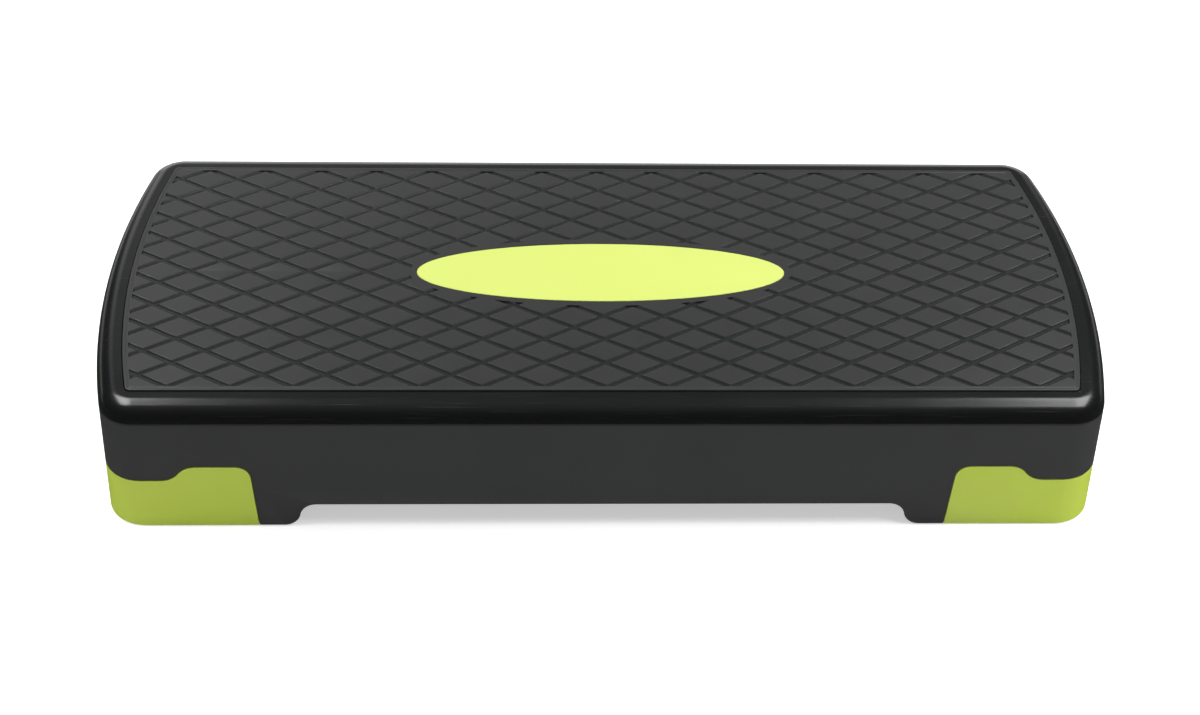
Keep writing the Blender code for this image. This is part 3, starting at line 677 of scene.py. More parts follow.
def groove_bar():
    """One long groove's cutter, which also rounds the lips on both sides of it."""
    edge = GROOVE_WIDTH / 2 + GROOVE_LIP
    lip = arc(edge, HEIGHT - GROOVE_LIP, GROOVE_LIP, math.pi / 2, math.pi, LIP_STEPS)
    side = [(edge, HEIGHT + MARGIN), *lip, (GROOVE_WIDTH / 2 - GROOVE_DRAFT, HEIGHT - GROOVE_DEPTH)]
    profile = side + [(-y, z) for y, z in reversed(side)]
    rings = [[(x, y, z) for y, z in profile] for x in (-HALF_LENGTH, HALF_LENGTH)]
    return lofts("groove_bar", [rings], CUT)


def badge_pocket_rings():
    """Rings of the cutter for the badge plate's pocket in the mat, which also rounds its lip."""
    bands = [(0.0, BADGE_LOW.z - PIECE_GAP)]
    bands += [(out, HEIGHT - GROOVE_LIP + rise) for out, rise in rounding(GROOVE_LIP)]
    bands.append((GROOVE_LIP, HEIGHT + MARGIN))
    return [ring_at(badge_outline(PIECE_GAP + out), height) for out, height in bands]


def build_tread(surface):
    """The mat with its lattice of grooves inside a plain border, and its pocket for the badge plate."""
    bands = [(0.0, MAT_LOW.z)]
    bands += [(inwards, HEIGHT - MAT_EDGE_RADIUS + rise) for inwards, rise in rounding(MAT_EDGE_RADIUS)]
    for side, depth in ((-1, 0.0), (0, BORDER_LINE_DEPTH), (1, 0.0)):
        bands.append((BORDER_WIDTH + side * BORDER_LINE_WIDTH / 2, HEIGHT - depth))
    rings = []
    for inwards, height in bands:
        rings.append(ring_at(plan_outline(MAT_INSET + inwards, MAT_CORNER_RADIUS - inwards), height))
    mat = lofts("tread_surface", [rings])
    cut(mat, "badge_pocket", [badge_pocket_rings()])
    field_inset = HALF_DEPTH - (LATTICE_ROWS / 2 * LATTICE_DEPTH - FIELD_TRIM)
    outline = plan_outline(field_inset, FIELD_CORNER_RADIUS)
    field = lofts("groove_field", [raised(outline, MAT_LOW.z, HEIGHT + 2 * MARGIN)], CUT)
    cut(field, "badge_ring", [raised(badge_outline(BADGE_RING), 0.0, HEIGHT + 3 * MARGIN)])
    bar = groove_bar()
    slant = math.atan2(LATTICE_DEPTH, LATTICE_LENGTH)
    reach = HALF_LENGTH + HALF_DEPTH / math.tan(slant)
    bars = 2 * math.ceil(reach / LATTICE_LENGTH) + 1
    run_tree(mat, groove_tree(), {
        "Bar": bar, "Field": field, "Bars": bars, "Pitch": LATTICE_LENGTH, "Slant": slant,
        "Material": surface})
    bpy.data.objects.remove(bar)
    bpy.data.objects.remove(field)
    shade(mat)
    return mat


def build_badge():
    """The bare oval plate with its rounded edge."""
    rings = [ring_at(badge_outline(), BADGE_LOW.z)]
    for inwards, rise in rounding(BADGE_EDGE_RADIUS):
        rings.append(ring_at(badge_outline(-inwards), HEIGHT - BADGE_EDGE_RADIUS + rise))
    badge = lofts("badge_face", [rings])
    shade(badge)
    return badge


def riser_hollow(end_name, end):
    """The space inside a riser, less its ribs and soles."""
    inset = SLEEVE_INSET + RISER_WALL
    ledge = FACE_LOW_TOP - RISER_LEDGE
    inner = SLEEVE_INNER + RISER_WALL
    hollow = lofts("riser_hollow", [raised(plan_outline(BAND_INSET), -MARGIN, ledge)], CUT)
    upper = raised(plan_outline(inset), ledge - MARGIN, RISER_TOP - RISER_WALL)
    cut(hollow, "upper_hollow", [upper], "UNION")
    inside = box((end * inner, -FAR, -2 * MARGIN), (end * FAR, FAR, HEIGHT))
    cut(hollow, "inside", [inside], "INTERSECT")
    half = RIB_THICKNESS / 2
    low_z = FLOOR_CLEARANCE + RISER_RIB_CLEARANCE
    places = rib_places(inner, HALF_LENGTH - inset)
    ribs = [box((end * (x - half), -FAR, low_z), (end * (x + half), FAR, HEIGHT)) for x in places]
    cut(hollow, "cross_ribs", ribs)
    places = rib_places(-HALF_DEPTH + inset, HALF_DEPTH - inset)
    ribs = [box((0.0, y - half, low_z), (end * FAR, y + half, HEIGHT)) for y in places]
    cut(hollow, "long_ribs", ribs)
    soles = []
    for face_name, face in FACES.items():
        low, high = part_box(f"{end_name}_{face_name}_riser_pad")
        edge_y = face * (HALF_DEPTH - BAND_INSET - SOLE_DEPTH)
        corner = (low.x - SOLE_THICKNESS, edge_y, -2 * MARGIN)
        soles.append(box(corner, (high.x + SOLE_THICKNESS, face * FAR, SOLE_TOP)))
    cut(hollow, "soles", soles)
    return hollow


def cut_riser_windows(riser, end):
    """Cut the windows that the lock bars enter at either height, and the stop peg's slot."""
    inner = SLEEVE_INNER - PIECE_GAP
    outer = SLEEVE_INNER + RISER_WALL + PIECE_GAP
    low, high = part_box("right_rear_lock_slide")
    centre_y = (low.y + high.y) / 2
    half_y = (high.y - low.y) / 2 + LOCK_GAP
    half_z = BAR_THICKNESS / 2 + LOCK_GAP
    centre_z = high.z - BAR_THICKNESS / 2
    holes = []
    for face in FACES.values():
        for z in (centre_z, centre_z + RISER_TRAVEL):
            corner = (end * inner, face * centre_y - half_y, z - half_z)
            holes.append(box(corner, (end * outer, face * centre_y + half_y, z + half_z)))
    half_y = PEG_WIDTH / 2 + LOCK_GAP
    corner = (end * inner, -half_y, PEG_HEIGHT - half_y)
    holes.append(box(corner, (end * outer, half_y, PEG_HEIGHT + RISER_TRAVEL + half_y)))
    cut(riser, "riser_windows", holes)


def build_riser(end_name, end):
    """One riser: a ribbed box that slides in the deck's end bay, with a face flush with the skirt."""
    riser = lofts(f"{end_name}_riser_moulding", [skirt_rings(0.0, FLOOR_CLEARANCE, FACE_TAB_TOP + MARGIN)])
    cut(riser, "face", [crosswise(face_outline(PARTING_GAP), end)], "INTERSECT")
    back = skirt_rings(TAB_LAP - PARTING_GAP, FACE_LOW_TOP - PARTING_GAP, RIM_START)
    cut(riser, "tab_back", [back])
    sleeve = lofts("sleeve", [raised(plan_outline(SLEEVE_INSET), FLOOR_CLEARANCE, RISER_TOP)], CUT)
    bay = box((end * SLEEVE_INNER, -FAR, -MARGIN), (end * FAR, FAR, HEIGHT + MARGIN))
    cut(sleeve, "bay", [bay], "INTERSECT")
    apply_tool(riser, sleeve, "UNION")
    apply_tool(riser, riser_hollow(end_name, end))
    cut_riser_windows(riser, end)
    cut(riser, "pad_pockets", [pad_pocket(pad) for pad in pad_names("riser", [end_name])])
    soften_edges(riser, PARTING_RADIUS)
    shade(riser)
    return riser


def join(name, pieces):
    """One object of several, which are used up."""
    bm = bmesh.new()
    for piece in pieces:
        bm.from_mesh(piece.data)
        bpy.data.objects.remove(piece)
    return make_object(name, bm)


def build_lock_slide(name, end, low, high):
    """A lock bar with a chamfered nose, and under it a finger knob that is ridged across its travel."""
    inner, nose = sorted((abs(low.x), abs(high.x)))
    bottom = high.z - BAR_THICKNESS
    profile = [
        (inner, bottom), (nose - BAR_LEAD, bottom), (nose, bottom + BAR_LEAD),
        (nose, high.z - BAR_LEAD), (nose - BAR_LEAD, high.z), (inner, high.z),
    ]
    slide = lofts(name, [[[(end * x, y, z) for x, z in profile] for y in (low.y, high.y)]])
    knob_x = end * (nose - KNOB_PLACE)
    middle_y = (low.y + high.y) / 2
    outline = rounded_rectangle(knob_x, middle_y, KNOB_LENGTH, KNOB_WIDTH, KNOB_CORNER_RADIUS)
    cut(slide, "knob", [raised(outline, low.z, high.z - BAR_THICKNESS / 2)], "UNION", SKIN)
    ridges = []
    for step in (-1, 0, 1):
        x = knob_x + step * KNOB_RIDGE_PITCH
        half = KNOB_RIDGE_WIDTH / 2
        corner = (x - half, middle_y - KNOB_WIDTH, low.z - MARGIN)
        ridges.append(box(corner, (x + half, middle_y + KNOB_WIDTH, low.z + KNOB_RIDGE_DEPTH)))
    cut(slide, "knob_ridges", ridges, index=SKIN)
    soften_edges(slide, SMALL_EDGE_RADIUS, 2)
    shade(slide)
    return slide


def knob_slot(end, slide_low, slide_high, growth, low, high):
    """Rings of the slot that a knob runs in, grown by so much on every side."""
    nose = max(abs(slide_low.x), abs(slide_high.x))
    outline = rounded_rectangle(
        end * (nose - KNOB_PLACE + LOCK_TRAVEL / 2), (slide_low.y + slide_high.y) / 2,
        KNOB_LENGTH + LOCK_TRAVEL + 2 * growth, KNOB_WIDTH + 2 * growth, KNOB_CORNER_RADIUS + growth)
    return raised(outline, low, high)


def build_lock_cover(name, end, slide, low, high, screws):
    """The slotted plate that closes a lock's housing, with a raised lip round its slot."""
    cover = lofts(name, [raised(box_outline(low, high, 0.0, COVER_CORNER_RADIUS), low.z, high.z)])
    lip = knob_slot(end, *slide, LOCK_GAP + COVER_LIP_WIDTH, low.z - COVER_LIP, high.z - COVER_LIP)
    cut(cover, "slot_lip", [lip], "UNION", SKIN)
    slot = knob_slot(end, *slide, LOCK_GAP, low.z - MARGIN, high.z + MARGIN)
    cut(cover, "knob_slot", [slot], index=SKIN)
    holes = []
    for centre in screws:
        outline = circle(centre, SCREW_RADIUS + PIECE_GAP)
        holes.append(raised(outline, low.z - MARGIN, high.z + MARGIN))
    cut(cover, "screw_holes", holes, index=SKIN)
    soften_edges(cover, SMALL_EDGE_RADIUS, 2)
    shade(cover)
    return cover


def build_screw(length):
    """A pan head screw with a cross recess, its seat at the origin and its head below."""
    dome = arc(0.0, 0.0, 1.0, -math.pi / 2, 0.0, CURVE_STEPS // 2)
    scale = SCREW_HEAD_HEIGHT / (1 + HEAD_RIM)
    stations = [(SCREW_HEAD_RADIUS * x, scale * (z - HEAD_RIM)) for x, z in dome[1:]]
    stations += [(SCREW_HEAD_RADIUS, 0.0), (SCREW_RADIUS, 0.0)]
    stations += [(SCREW_RADIUS, length - SCREW_RADIUS), (SCREW_RADIUS / 2, length)]
    rings = []
    for radius, height in stations:
        rings.append(ring_at(circle(Vector(), radius), height))
    screw = lofts("screw", [rings])
    for reach_x, reach_y in ((CROSS_REACH, CROSS_WIDTH / 2), (CROSS_WIDTH / 2, CROSS_REACH)):
        low = (-reach_x, -reach_y, -SCREW_HEAD_HEIGHT - MARGIN)
        recess = box(low, (reach_x, reach_y, CROSS_DEPTH - SCREW_HEAD_HEIGHT))
        cut(screw, "cross", [recess], index=SKIN)
    return screw


def screw_tree():
    """One screw on every point of a mesh, each turned by chance."""
    tree, start = new_tree("Cover screws", {"Screw": "Object", "Seed": "Int"})
    screw = add_node(tree, "GeometryNodeObjectInfo", {}, {"Object": start.outputs["Screw"]})
    turn = add_node(tree, "FunctionNodeRandomValue", {"data_type": "FLOAT", "Max": math.pi}, {
        "Seed": start.outputs["Seed"]})
    turned = add_node(tree, "ShaderNodeCombineXYZ", {}, {"Z": turn.outputs[1]})
    placed = add_node(tree, "GeometryNodeInstanceOnPoints", {}, {
        "Points": start.outputs["Geometry"], "Instance": screw.outputs["Geometry"], "Rotation": turned})
    return end_tree(tree, start, placed)


def build_screws(surface):
    """The cover screws, one at each CAD screw's place."""
    bm = bmesh.new()
    for name, centre in screw_centres().items():
        low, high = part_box(name)
        bm.verts.new((centre.x, centre.y, low.z + SCREW_HEAD_HEIGHT))
    screws = make_object("cover_screws", bm)
    # All of them are equally long
    screw = build_screw(high.z - low.z - SCREW_HEAD_HEIGHT)
    run_tree(screws, screw_tree(), {"Screw": screw, "Seed": 3, "Material": surface})
    bpy.data.objects.remove(screw)
    shade(screws)
    return screws


def pad_tree():
    """A row of grooves cut into the underside of a pad."""
    tree, start = new_tree("Pad grooves", {
        "Bar": "Object", "Bars": "Int", "First": "Vector", "Step": "Vector", "Turn": "Float"})
    row = bar_row(tree, start, start.outputs["First"], start.outputs["Step"], start.outputs["Turn"])
    grooved = add_node(tree, "GeometryNodeMeshBoolean", {"operation": "DIFFERENCE", "solver": "EXACT"}, {
        "Mesh 1": start.outputs["Geometry"], "Mesh 2": row})
    return end_tree(tree, start, grooved)


def build_pads(name, nodes, surface):
    """Rubber pads in the places of these CAD nodes, grooved across their length."""
    tree = pad_tree()
    half = PAD_GROOVE_WIDTH / 2
    bar = lofts("pad_groove", [box((-half, -FOOT_DEPTH, -MARGIN), (half, FOOT_DEPTH, PAD_GROOVE_DEPTH))])
    pads = []
    for node in nodes:
        low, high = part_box(node)
        rings = []
        for height, outwards in rounding(PAD_EDGE_RADIUS):
            outline = box_outline(low, high, outwards - PAD_EDGE_RADIUS, PAD_CORNER_RADIUS)
            rings.append(ring_at(outline, height))
        rings.append(ring_at(outline, high.z))
        pad = lofts(node, [rings])
        size = high - low
        middle = (low + high) / 2
        along = Vector((1, 0, 0)) if size.x > size.y else Vector((0, 1, 0))
        bars = round(max(size.x, size.y) / PAD_GROOVE_PITCH) - 1
        first = Vector((middle.x, middle.y, 0.0)) - along * (bars - 1) / 2 * PAD_GROOVE_PITCH
        run_tree(pad, tree, {
            "Bar": bar, "Bars": bars, "First": first, "Step": along * PAD_GROOVE_PITCH,
            "Turn": math.pi / 2 * along.y, "Material": surface})
        pads.append(pad)
    bpy.data.objects.remove(bar)
    joined = join(name, pads)
    shade(joined)
    return joined


def start_material(name, **settings):
    """A new material with its shader set, its node tree and its Object coordinates."""
    made = bpy.data.materials.new(name)
    made.use_nodes = True
    tree = made.node_tree
    for socket, value in settings.items():
        tree.nodes["Principled BSDF"].inputs[socket].default_value = value
    return made, tree, add_node(tree, "ShaderNodeTexCoord").outputs["Object"]


def speckle(tree, place, size, detail=2.0):
    """Soft random spots of this size in metres, from 0 to 1."""
    return add_node(tree, "ShaderNodeTexNoise", {"Scale": 1 / size, "Detail": detail}, {
        "Vector": place}).outputs["Fac"]


def scuffs(tree, place, length, width, turn):
    """Fine scratches of this length and width, running one way: 1 on a scratch, 0 beside it."""
    laid = add_node(tree, "ShaderNodeMapping", {
        "Rotation": (0.0, 0.0, turn), "Scale": (1 / length, 1 / width, 1 / width)}, {"Vector": place})
    noise = add_node(tree, "ShaderNodeTexNoise", {"Scale": 1.0, "Detail": 3.0, "Roughness": 0.65}, {
        "Vector": laid})
    return add_node(tree, "ShaderNodeMapRange", {"From Min": 0.62, "From Max": 0.74}, {
        "Value": noise.outputs["Fac"]})


def edge_wear(tree):
    """1 along worn convex edges, 0 on flats."""
    form = add_node(tree, "ShaderNodeNewGeometry")
    return add_node(tree, "ShaderNodeMapRange", {"From Min": 0.53, "From Max": 0.64}, {
        "Value": form.outputs["Pointiness"]})


def by_height(tree, place, none, full):
    """A share that goes from 0 at one height to 1 at another."""
    parts = add_node(tree, "ShaderNodeSeparateXYZ", {}, {0: place})
    return add_node(tree, "ShaderNodeMapRange", {"From Min": none, "From Max": full}, {
        "Value": parts.outputs["Z"]})


def layered(tree, colour, *coats):
    """A colour with coats over it: each coat's share from 0 to 1, its full strength and its colour."""
    for share, strength, coat in coats:
        amount = add_node(tree, "ShaderNodeMapRange", {"To Max": strength}, {"Value": share})
        mix = add_node(tree, "ShaderNodeMix", {"data_type": "RGBA"}, {0: amount})
        for index, part in ((6, colour), (7, coat)):
            if isinstance(part, str):
                mix.inputs[index].default_value = linear(part)
            else:
                tree.links.new(part, mix.inputs[index])
        colour = mix.outputs[2]
    return colour


def uneven(tree, share, low, high, *marks):
    """A roughness that goes from low to high with a share, and marks that add to it or take from it."""
    rough = add_node(tree, "ShaderNodeMapRange", {"To Min": low, "To Max": high}, {"Value": share})
    for mark, change in marks:
        rough = add_node(tree, "ShaderNodeMath", {"operation": "MULTIPLY_ADD", 1: change}, {
            0: mark, 2: rough})
    return rough


def finish(made, colour, rough, height, strength, depth):
    """Give a material its colour, its roughness and a bump of this depth in metres."""
    tree = made.node_tree
    bump = add_node(tree, "ShaderNodeBump", {"Strength": strength, "Distance": depth}, {"Height": height})
    shader = tree.nodes["Principled BSDF"]
    tree.links.new(colour, shader.inputs["Base Color"])
    tree.links.new(rough.outputs[0], shader.inputs["Roughness"])
    tree.links.new(bump.outputs[0], shader.inputs["Normal"])
    return made


def polypropylene_black():
    """Injection moulded polypropylene, black.

    A spark-eroded grain scatters light over the skirt and the underside, so they look satin and a
    little grey; the polished rim mirrors the room. Shoes and floors leave hair-fine paler scuffs.
    """
    made, tree, place = start_material("injection moulded polypropylene, black", IOR=1.49)
    rim = by_height(tree, place, POLISH_START, POLISH_END)
    mottle = speckle(tree, place, 0.045)
    scratched = scuffs(tree, place, 0.060, 0.0006, 0.05)
    worn = edge_wear(tree)
    polished = layered(tree, "#121313", (mottle, 1.0, "#161717"))
    grained = layered(tree, "#404141", (mottle, 1.0, "#444545"))
    colour = layered(
        tree, grained, (rim, 1.0, polished), (scratched, 0.25, "#535454"), (worn, 0.2, "#5a5b5b"))
    rough = uneven(tree, rim, 0.50, 0.18, (mottle, 0.08), (scratched, 0.10))
    # The real grain is about 0.1 mm across, too fine for the picture, so it is drawn at 0.6 mm
    grain = speckle(tree, place, 0.0006)
    smooth_rim = add_node(tree, "ShaderNodeMapRange", {"To Min": 1.0, "To Max": 0.1}, {"Value": rim})
    faded = add_node(tree, "ShaderNodeMath", {"operation": "MULTIPLY"}, {0: grain, 1: smooth_rim})
    return finish(made, colour, rough, faded, 0.35, 0.00006)


def tread_rubber():
    """Compression moulded rubber, dark grey.

    Filler and mould texture make it dull with a fine sparkle. The lips of its grooves and of its
    border are rubbed smoother than the flats, so they catch the soft boxes; lips and groove walls are
    also painted paler, a painted highlight on the lips and painted light over the walls' shade. The
    groove floors keep the mould's smoother face and are painted paler, painted light that offsets
    the shade in the grooves.
    """
    made, tree, place = start_material("compression moulded rubber, dark grey", IOR=1.52)
    below_top = by_height(tree, place, LIP_START, LIP_END)
    above_floor = by_height(tree, place, FLOOR_START, WALL_END)
    # Lips and groove walls: their paler coat is a painted highlight on the lips and painted light that
    # lifts the walls' shade
    lip = add_node(tree, "ShaderNodeMath", {"operation": "MULTIPLY"}, {0: below_top, 1: above_floor})
    # Groove floors: their paler coat is painted light that offsets the shade in the grooves
    floor = by_height(tree, place, WALL_END, FLOOR_START)
    mottle = speckle(tree, place, 0.030)
    # Filler grains of 0.05 to 0.2 mm, drawn at 0.7 mm so that they show
    grain = speckle(tree, place, 0.0007, 1.0)
    fleck = add_node(tree, "ShaderNodeMapRange", {"From Min": 0.35, "From Max": 0.75}, {"Value": grain})
    colour = layered(
        tree, "#1f201f", (mottle, 1.0, "#232423"), (fleck, 0.5, "#2e2f2f"), (floor, 1.0, "#262827"),
        (lip, 1.0, "#2f3131"))
    rough = uneven(tree, mottle, 0.36, 0.44, (floor, -0.18), (lip, -0.06))
    return finish(made, colour, rough, grain, 0.5, 0.00008)


def polypropylene_lime():
    """Injection moulded polypropylene, lime.

    Pigment gives an even, slightly milky green; a fine grain makes it satin, and the feet carry
    faint grey rubs near the floor.
    """
    made, tree, place = start_material("injection moulded polypropylene, lime", IOR=1.49)
    mottle = speckle(tree, place, 0.040)
    scratched = scuffs(tree, place, 0.030, 0.0006, 0.3)
    low = by_height(tree, place, 0.010, 0.0)
    rubbed = add_node(tree, "ShaderNodeMath", {"operation": "MULTIPLY"}, {0: low, 1: scratched})
    worn = edge_wear(tree)
    colour = layered(
        tree, "#d0e64e", (mottle, 1.0, "#d5ea53"), (rubbed, 0.25, "#7f8a48"), (worn, 0.25, "#dbec8c"))
    rough = uneven(tree, mottle, 0.36, 0.44, (scratched, 0.08))
    # The real grain is about 0.1 mm across; it is drawn at 0.6 mm
    return finish(made, colour, rough, speckle(tree, place, 0.0006), 0.25, 0.00005)


def polypropylene_yellow():
    """Injection moulded polypropylene, yellow-green, for the badge plate.

    A satin face of bright pigment, with soles' faint rubs across it.
    """
    made, tree, place = start_material("injection moulded polypropylene, yellow-green", IOR=1.49)
    mottle = speckle(tree, place, 0.035)
    scratched = scuffs(tree, place, 0.025, 0.0005, 0.9)
    colour = layered(tree, "#ccdb6d", (mottle, 1.0, "#d0de72"), (scratched, 0.10, "#c8d86c"))
    rough = uneven(tree, mottle, 0.40, 0.48, (scratched, 0.08))
    return finish(made, colour, rough, speckle(tree, place, 0.0006), 0.2, 0.00004)


def acetal_grey():
    """Moulded acetal, dark grey: slippery, close-grained, and glossier where it is rubbed."""
    made, tree, place = start_material("injection moulded acetal, dark grey", IOR=1.48)
    mottle = speckle(tree, place, 0.012)
    worn = edge_wear(tree)
    colour = layered(tree, "#56575a", (mottle, 1.0, "#5d5e61"), (worn, 0.4, "#7d7e80"))
    rough = uneven(tree, mottle, 0.34, 0.44, (worn, -0.12))
    return finish(made, colour, rough, speckle(tree, place, 0.0005), 0.2, 0.00004)


def zinc_plated_steel():
    """Zinc plated steel: a bright, slightly blue metal under a cloudy plating."""
    made, tree, place = start_material("zinc plated steel", Metallic=1.0)
    cloud = speckle(tree, place, 0.0016, 3.0)
    colour = layered(tree, "#c2c4c6", (cloud, 1.0, "#d4d3cc"))
    rough = uneven(tree, cloud, 0.24, 0.40)
    return finish(made, colour, rough, speckle(tree, place, 0.0004), 0.15, 0.00003)


def pad_rubber():
    """Moulded rubber, black: dull, with floor dust caught in its grain."""
    made, tree, place = start_material("compression moulded rubber, black", IOR=1.52)
    dust = speckle(tree, place, 0.004, 4.0)
    colour = layered(tree, "#2a2a2a", (dust, 0.6, "#474643"))
    rough = uneven(tree, dust, 0.72, 0.90)
    return finish(made, colour, rough, speckle(tree, place, 0.0006), 0.4, 0.00008)


def make_camera():
    """The photograph's camera."""
    ahead = Vector((
        math.sin(CAMERA_YAW) * math.cos(CAMERA_DIP),
        math.cos(CAMERA_YAW) * math.cos(CAMERA_DIP),
        -math.sin(CAMERA_DIP),
    ))
    right = Vector((math.cos(CAMERA_YAW), -math.sin(CAMERA_YAW), 0.0))
    up = right.cross(ahead)
    rolled_right = math.cos(CAMERA_ROLL) * right + math.sin(CAMERA_ROLL) * up
    rolled_up = math.cos(CAMERA_ROLL) * up - math.sin(CAMERA_ROLL) * right
    camera = bpy.data.objects.new("camera", bpy.data.cameras.new("camera"))
    camera.data.lens = CAMERA_LENS
    camera.data.sensor_width = SENSOR_WIDTH
    place = Matrix((rolled_right, rolled_up, -ahead)).transposed().to_4x4()
    place.translation = CAMERA_PLACE
    camera.matrix_world = place
    bpy.context.scene.collection.objects.link(camera)
    bpy.context.scene.camera = camera


def make_soft_box(name, place, size, power):
    """A soft box that faces straight down."""
    lamp = bpy.data.lights.new(name, "AREA")
    lamp.shape = "RECTANGLE"
    lamp.size, lamp.size_y = size
    lamp.energy = power
    body = bpy.data.objects.new(name, lamp)
    body.location = place
    bpy.context.scene.collection.objects.link(body)


def seen_directly(tree):
    """1 to the camera, also through clear material, and 0 to light and mirrors."""
    path = add_node(tree, "ShaderNodeLightPath")
    return add_node(tree, "ShaderNodeMath", {"operation": "MAXIMUM"}, {
        0: path.outputs["Is Camera Ray"], 1: path.outputs["Is Transmission Ray"]})


def table_paint():
    """White lit table paint that is clear from below and dim in mirrors."""
    surface = bpy.data.materials.new("white studio table")
    surface.use_nodes = True
    tree = surface.node_tree
    tree.nodes.clear()
    place = add_node(tree, "ShaderNodeTexCoord").outputs["Object"]
    # The lamps don't reach the far end of the table, so it is lifted more there
    reach = add_node(tree, "ShaderNodeVectorMath", {"operation": "LENGTH"}, {0: place}).outputs["Value"]
    lift = add_node(tree, "ShaderNodeMapRange", {
        "From Min": TABLE_FADE[0], "From Max": TABLE_FADE[1],
        "To Min": TABLE_LIFT[0], "To Max": TABLE_LIFT[1]}, {"Value": reach})
    level = add_node(tree, "ShaderNodeMath", {"operation": "MULTIPLY"}, {0: seen_directly(tree), 1: lift})
    glow = add_node(tree, "ShaderNodeEmission", {}, {"Strength": level})
    paint = add_node(tree, "ShaderNodeBsdfDiffuse", {"Color": linear("#f2f2f2")})
    lit = add_node(tree, "ShaderNodeAddShader", {}, {0: paint, 1: glow})
    # Polished plastic sees only the part of the table behind the step as bright
    parts = add_node(tree, "ShaderNodeSeparateXYZ", {}, {0: place})
    mirrored = add_node(tree, "ShaderNodeMapRange", {
        "From Min": TABLE_BEHIND[0], "From Max": TABLE_BEHIND[1],
        "To Min": TABLE_MIRRORED[0], "To Max": TABLE_MIRRORED[1]}, {"Value": parts.outputs["Y"]})
    dim = add_node(tree, "ShaderNodeEmission", {}, {"Strength": mirrored})
    path = add_node(tree, "ShaderNodeLightPath")
    above = add_node(tree, "ShaderNodeMixShader", {}, {0: path.outputs["Is Glossy Ray"], 1: lit, 2: dim})
    clear = add_node(tree, "ShaderNodeBsdfTransparent")
    side = add_node(tree, "ShaderNodeNewGeometry")
    shown = add_node(tree, "ShaderNodeMixShader", {}, {0: side.outputs["Backfacing"], 1: above, 2: clear})
    add_node(tree, "ShaderNodeOutputMaterial", {}, {"Surface": shown})
    return surface


def make_table():
    """A white lit table in two halves, each of which follows the riser that stands on it."""
    surface = table_paint()
    for end, sign in ENDS.items():
        bm = bmesh.new()
        corners = [(0.0, TABLE_FRONT), (TABLE_REACH * sign, TABLE_FRONT)]
        corners += [(TABLE_REACH * sign, TABLE_REACH), (0.0, TABLE_REACH)]
        bm.faces.new([bm.verts.new((x, y, 0.0)) for x, y in corners[::sign]])
        half = make_object(f"{end}_table", bm)
        half.data.materials.clear()
        half.data.materials.append(surface)
        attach(half, f"{end}_riser")


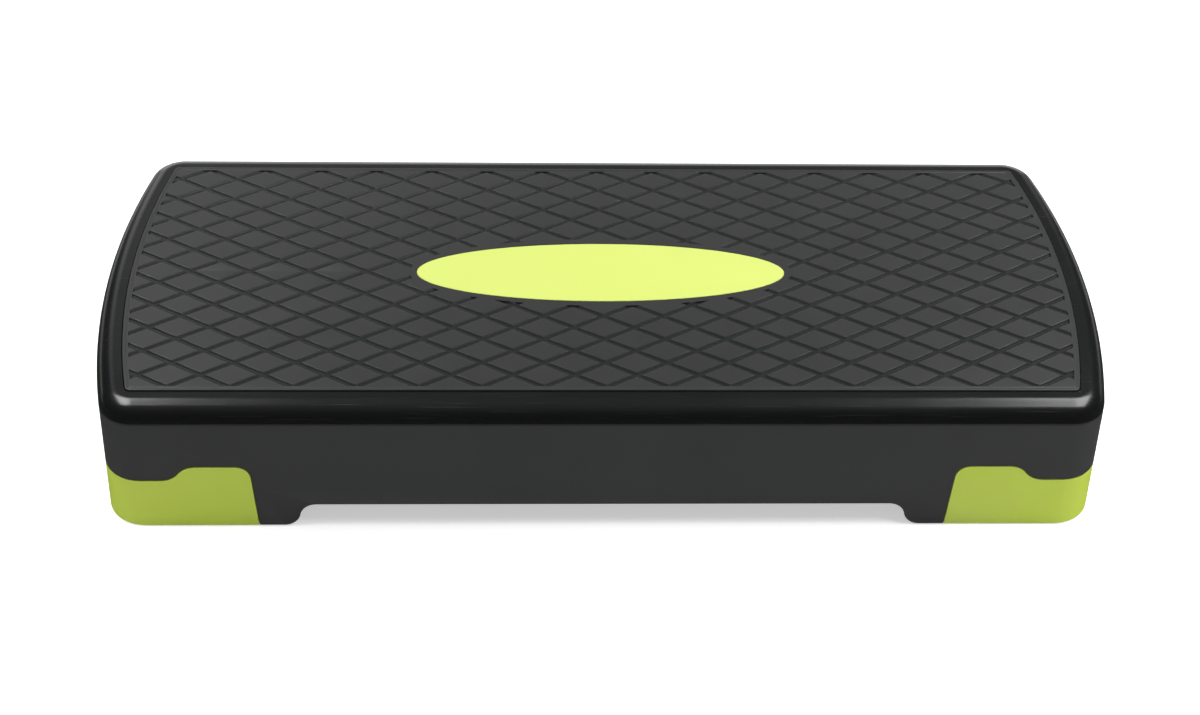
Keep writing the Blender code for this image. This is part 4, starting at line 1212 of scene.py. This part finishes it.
def make_world():
    """A dim studio with a white panel low behind the step, and white to the camera."""
    world = bpy.data.worlds.new("white studio")
    bpy.context.scene.world = world
    world.use_nodes = True
    tree = world.node_tree
    direction = add_node(tree, "ShaderNodeSeparateXYZ", {}, {
        0: add_node(tree, "ShaderNodeTexCoord").outputs["Generated"]})
    aside = add_node(tree, "ShaderNodeMath", {"operation": "ABSOLUTE"}, {0: direction.outputs["X"]})
    # The panel's upper edge runs down to the right
    height = add_node(tree, "ShaderNodeMath", {"operation": "MULTIPLY_ADD", 1: PANEL_SLOPE}, {
        0: direction.outputs["X"], 2: direction.outputs["Z"]})
    fades = []
    for value, (start, stop), low, high in (
            (aside, PANEL_SIDES, 1.0, 0.0),
            (height, PANEL_TOP, PANEL_BRIGHT, 0.0),
            (direction.outputs["Y"], PANEL_BEHIND, 0.0, 1.0),
            (direction.outputs["Z"], CEILING, ROOM_DARK, CEILING_BRIGHT)):
        fades.append(add_node(tree, "ShaderNodeMapRange", {
            "interpolation_type": "SMOOTHSTEP", "From Min": start, "From Max": stop,
            "To Min": low, "To Max": high}, {"Value": value}))
    sides, top, behind, ceiling = fades
    front = add_node(tree, "ShaderNodeMath", {"operation": "MULTIPLY"}, {0: sides, 1: top})
    panel = add_node(tree, "ShaderNodeMath", {"operation": "MULTIPLY"}, {0: front, 1: behind})
    mirrored = add_node(tree, "ShaderNodeMath", {"operation": "MAXIMUM"}, {0: panel, 1: ceiling})
    path = add_node(tree, "ShaderNodeLightPath")
    room = add_node(tree, "ShaderNodeMix", {2: ROOM_LIGHT}, {
        0: path.outputs["Is Glossy Ray"], 3: mirrored})
    strength = add_node(tree, "ShaderNodeMapRange", {}, {"Value": seen_directly(tree), "To Min": room})
    background = tree.nodes["Background"]
    background.inputs["Color"].default_value = linear("#ffffff")
    tree.links.new(strength.outputs[0], background.inputs["Strength"])


make_camera()
make_table()
make_world()
for box_name, settings in SOFT_BOXES.items():
    make_soft_box(box_name, *settings)
black = polypropylene_black()
rubber = tread_rubber()
lime = polypropylene_lime()
acetal = acetal_grey()
steel = zinc_plated_steel()
foot_rubber = pad_rubber()
dress(build_deck(), black, "deck", "deck_plastic", "deck_shell")
dress(build_tread(rubber), rubber, "deck", "tread_mat", "tread_mat")
dress(build_badge(), polypropylene_yellow(), "deck", "badge_plastic", "badge_plate")
dress(build_screws(steel), steel, "deck", "screw_steel", *screw_centres())
pads = build_pads("deck_foot_pads", pad_names("deck"), foot_rubber)
dress(pads, foot_rubber, "deck", "pad_rubber", *pad_names("deck"))
for end_name, end_sign in ENDS.items():
    riser = build_riser(end_name, end_sign)
    dress(riser, lime, f"{end_name}_riser", "riser_plastic", f"{end_name}_riser")
    nodes = pad_names("riser", [end_name])
    pads = build_pads(f"{end_name}_riser_foot_pads", nodes, foot_rubber)
    dress(pads, foot_rubber, f"{end_name}_riser", "pad_rubber", *nodes)
for lock, (end_sign, slide_box, cover_box) in lock_parts().items():
    slide = build_lock_slide(f"{lock}_slide_bar", end_sign, *slide_box)
    dress(slide, acetal, f"{lock}_lock", "lock_plastic", f"{lock}_lock_slide")
    places = [centre for name, centre in screw_centres().items() if name.startswith(lock)]
    cover = build_lock_cover(f"{lock}_slotted_cover", end_sign, slide_box, *cover_box, places)
    dress(cover, black, "deck", "deck_plastic", f"{lock}_lock_cover")

bpy.context.scene.view_settings.view_transform = "Standard"
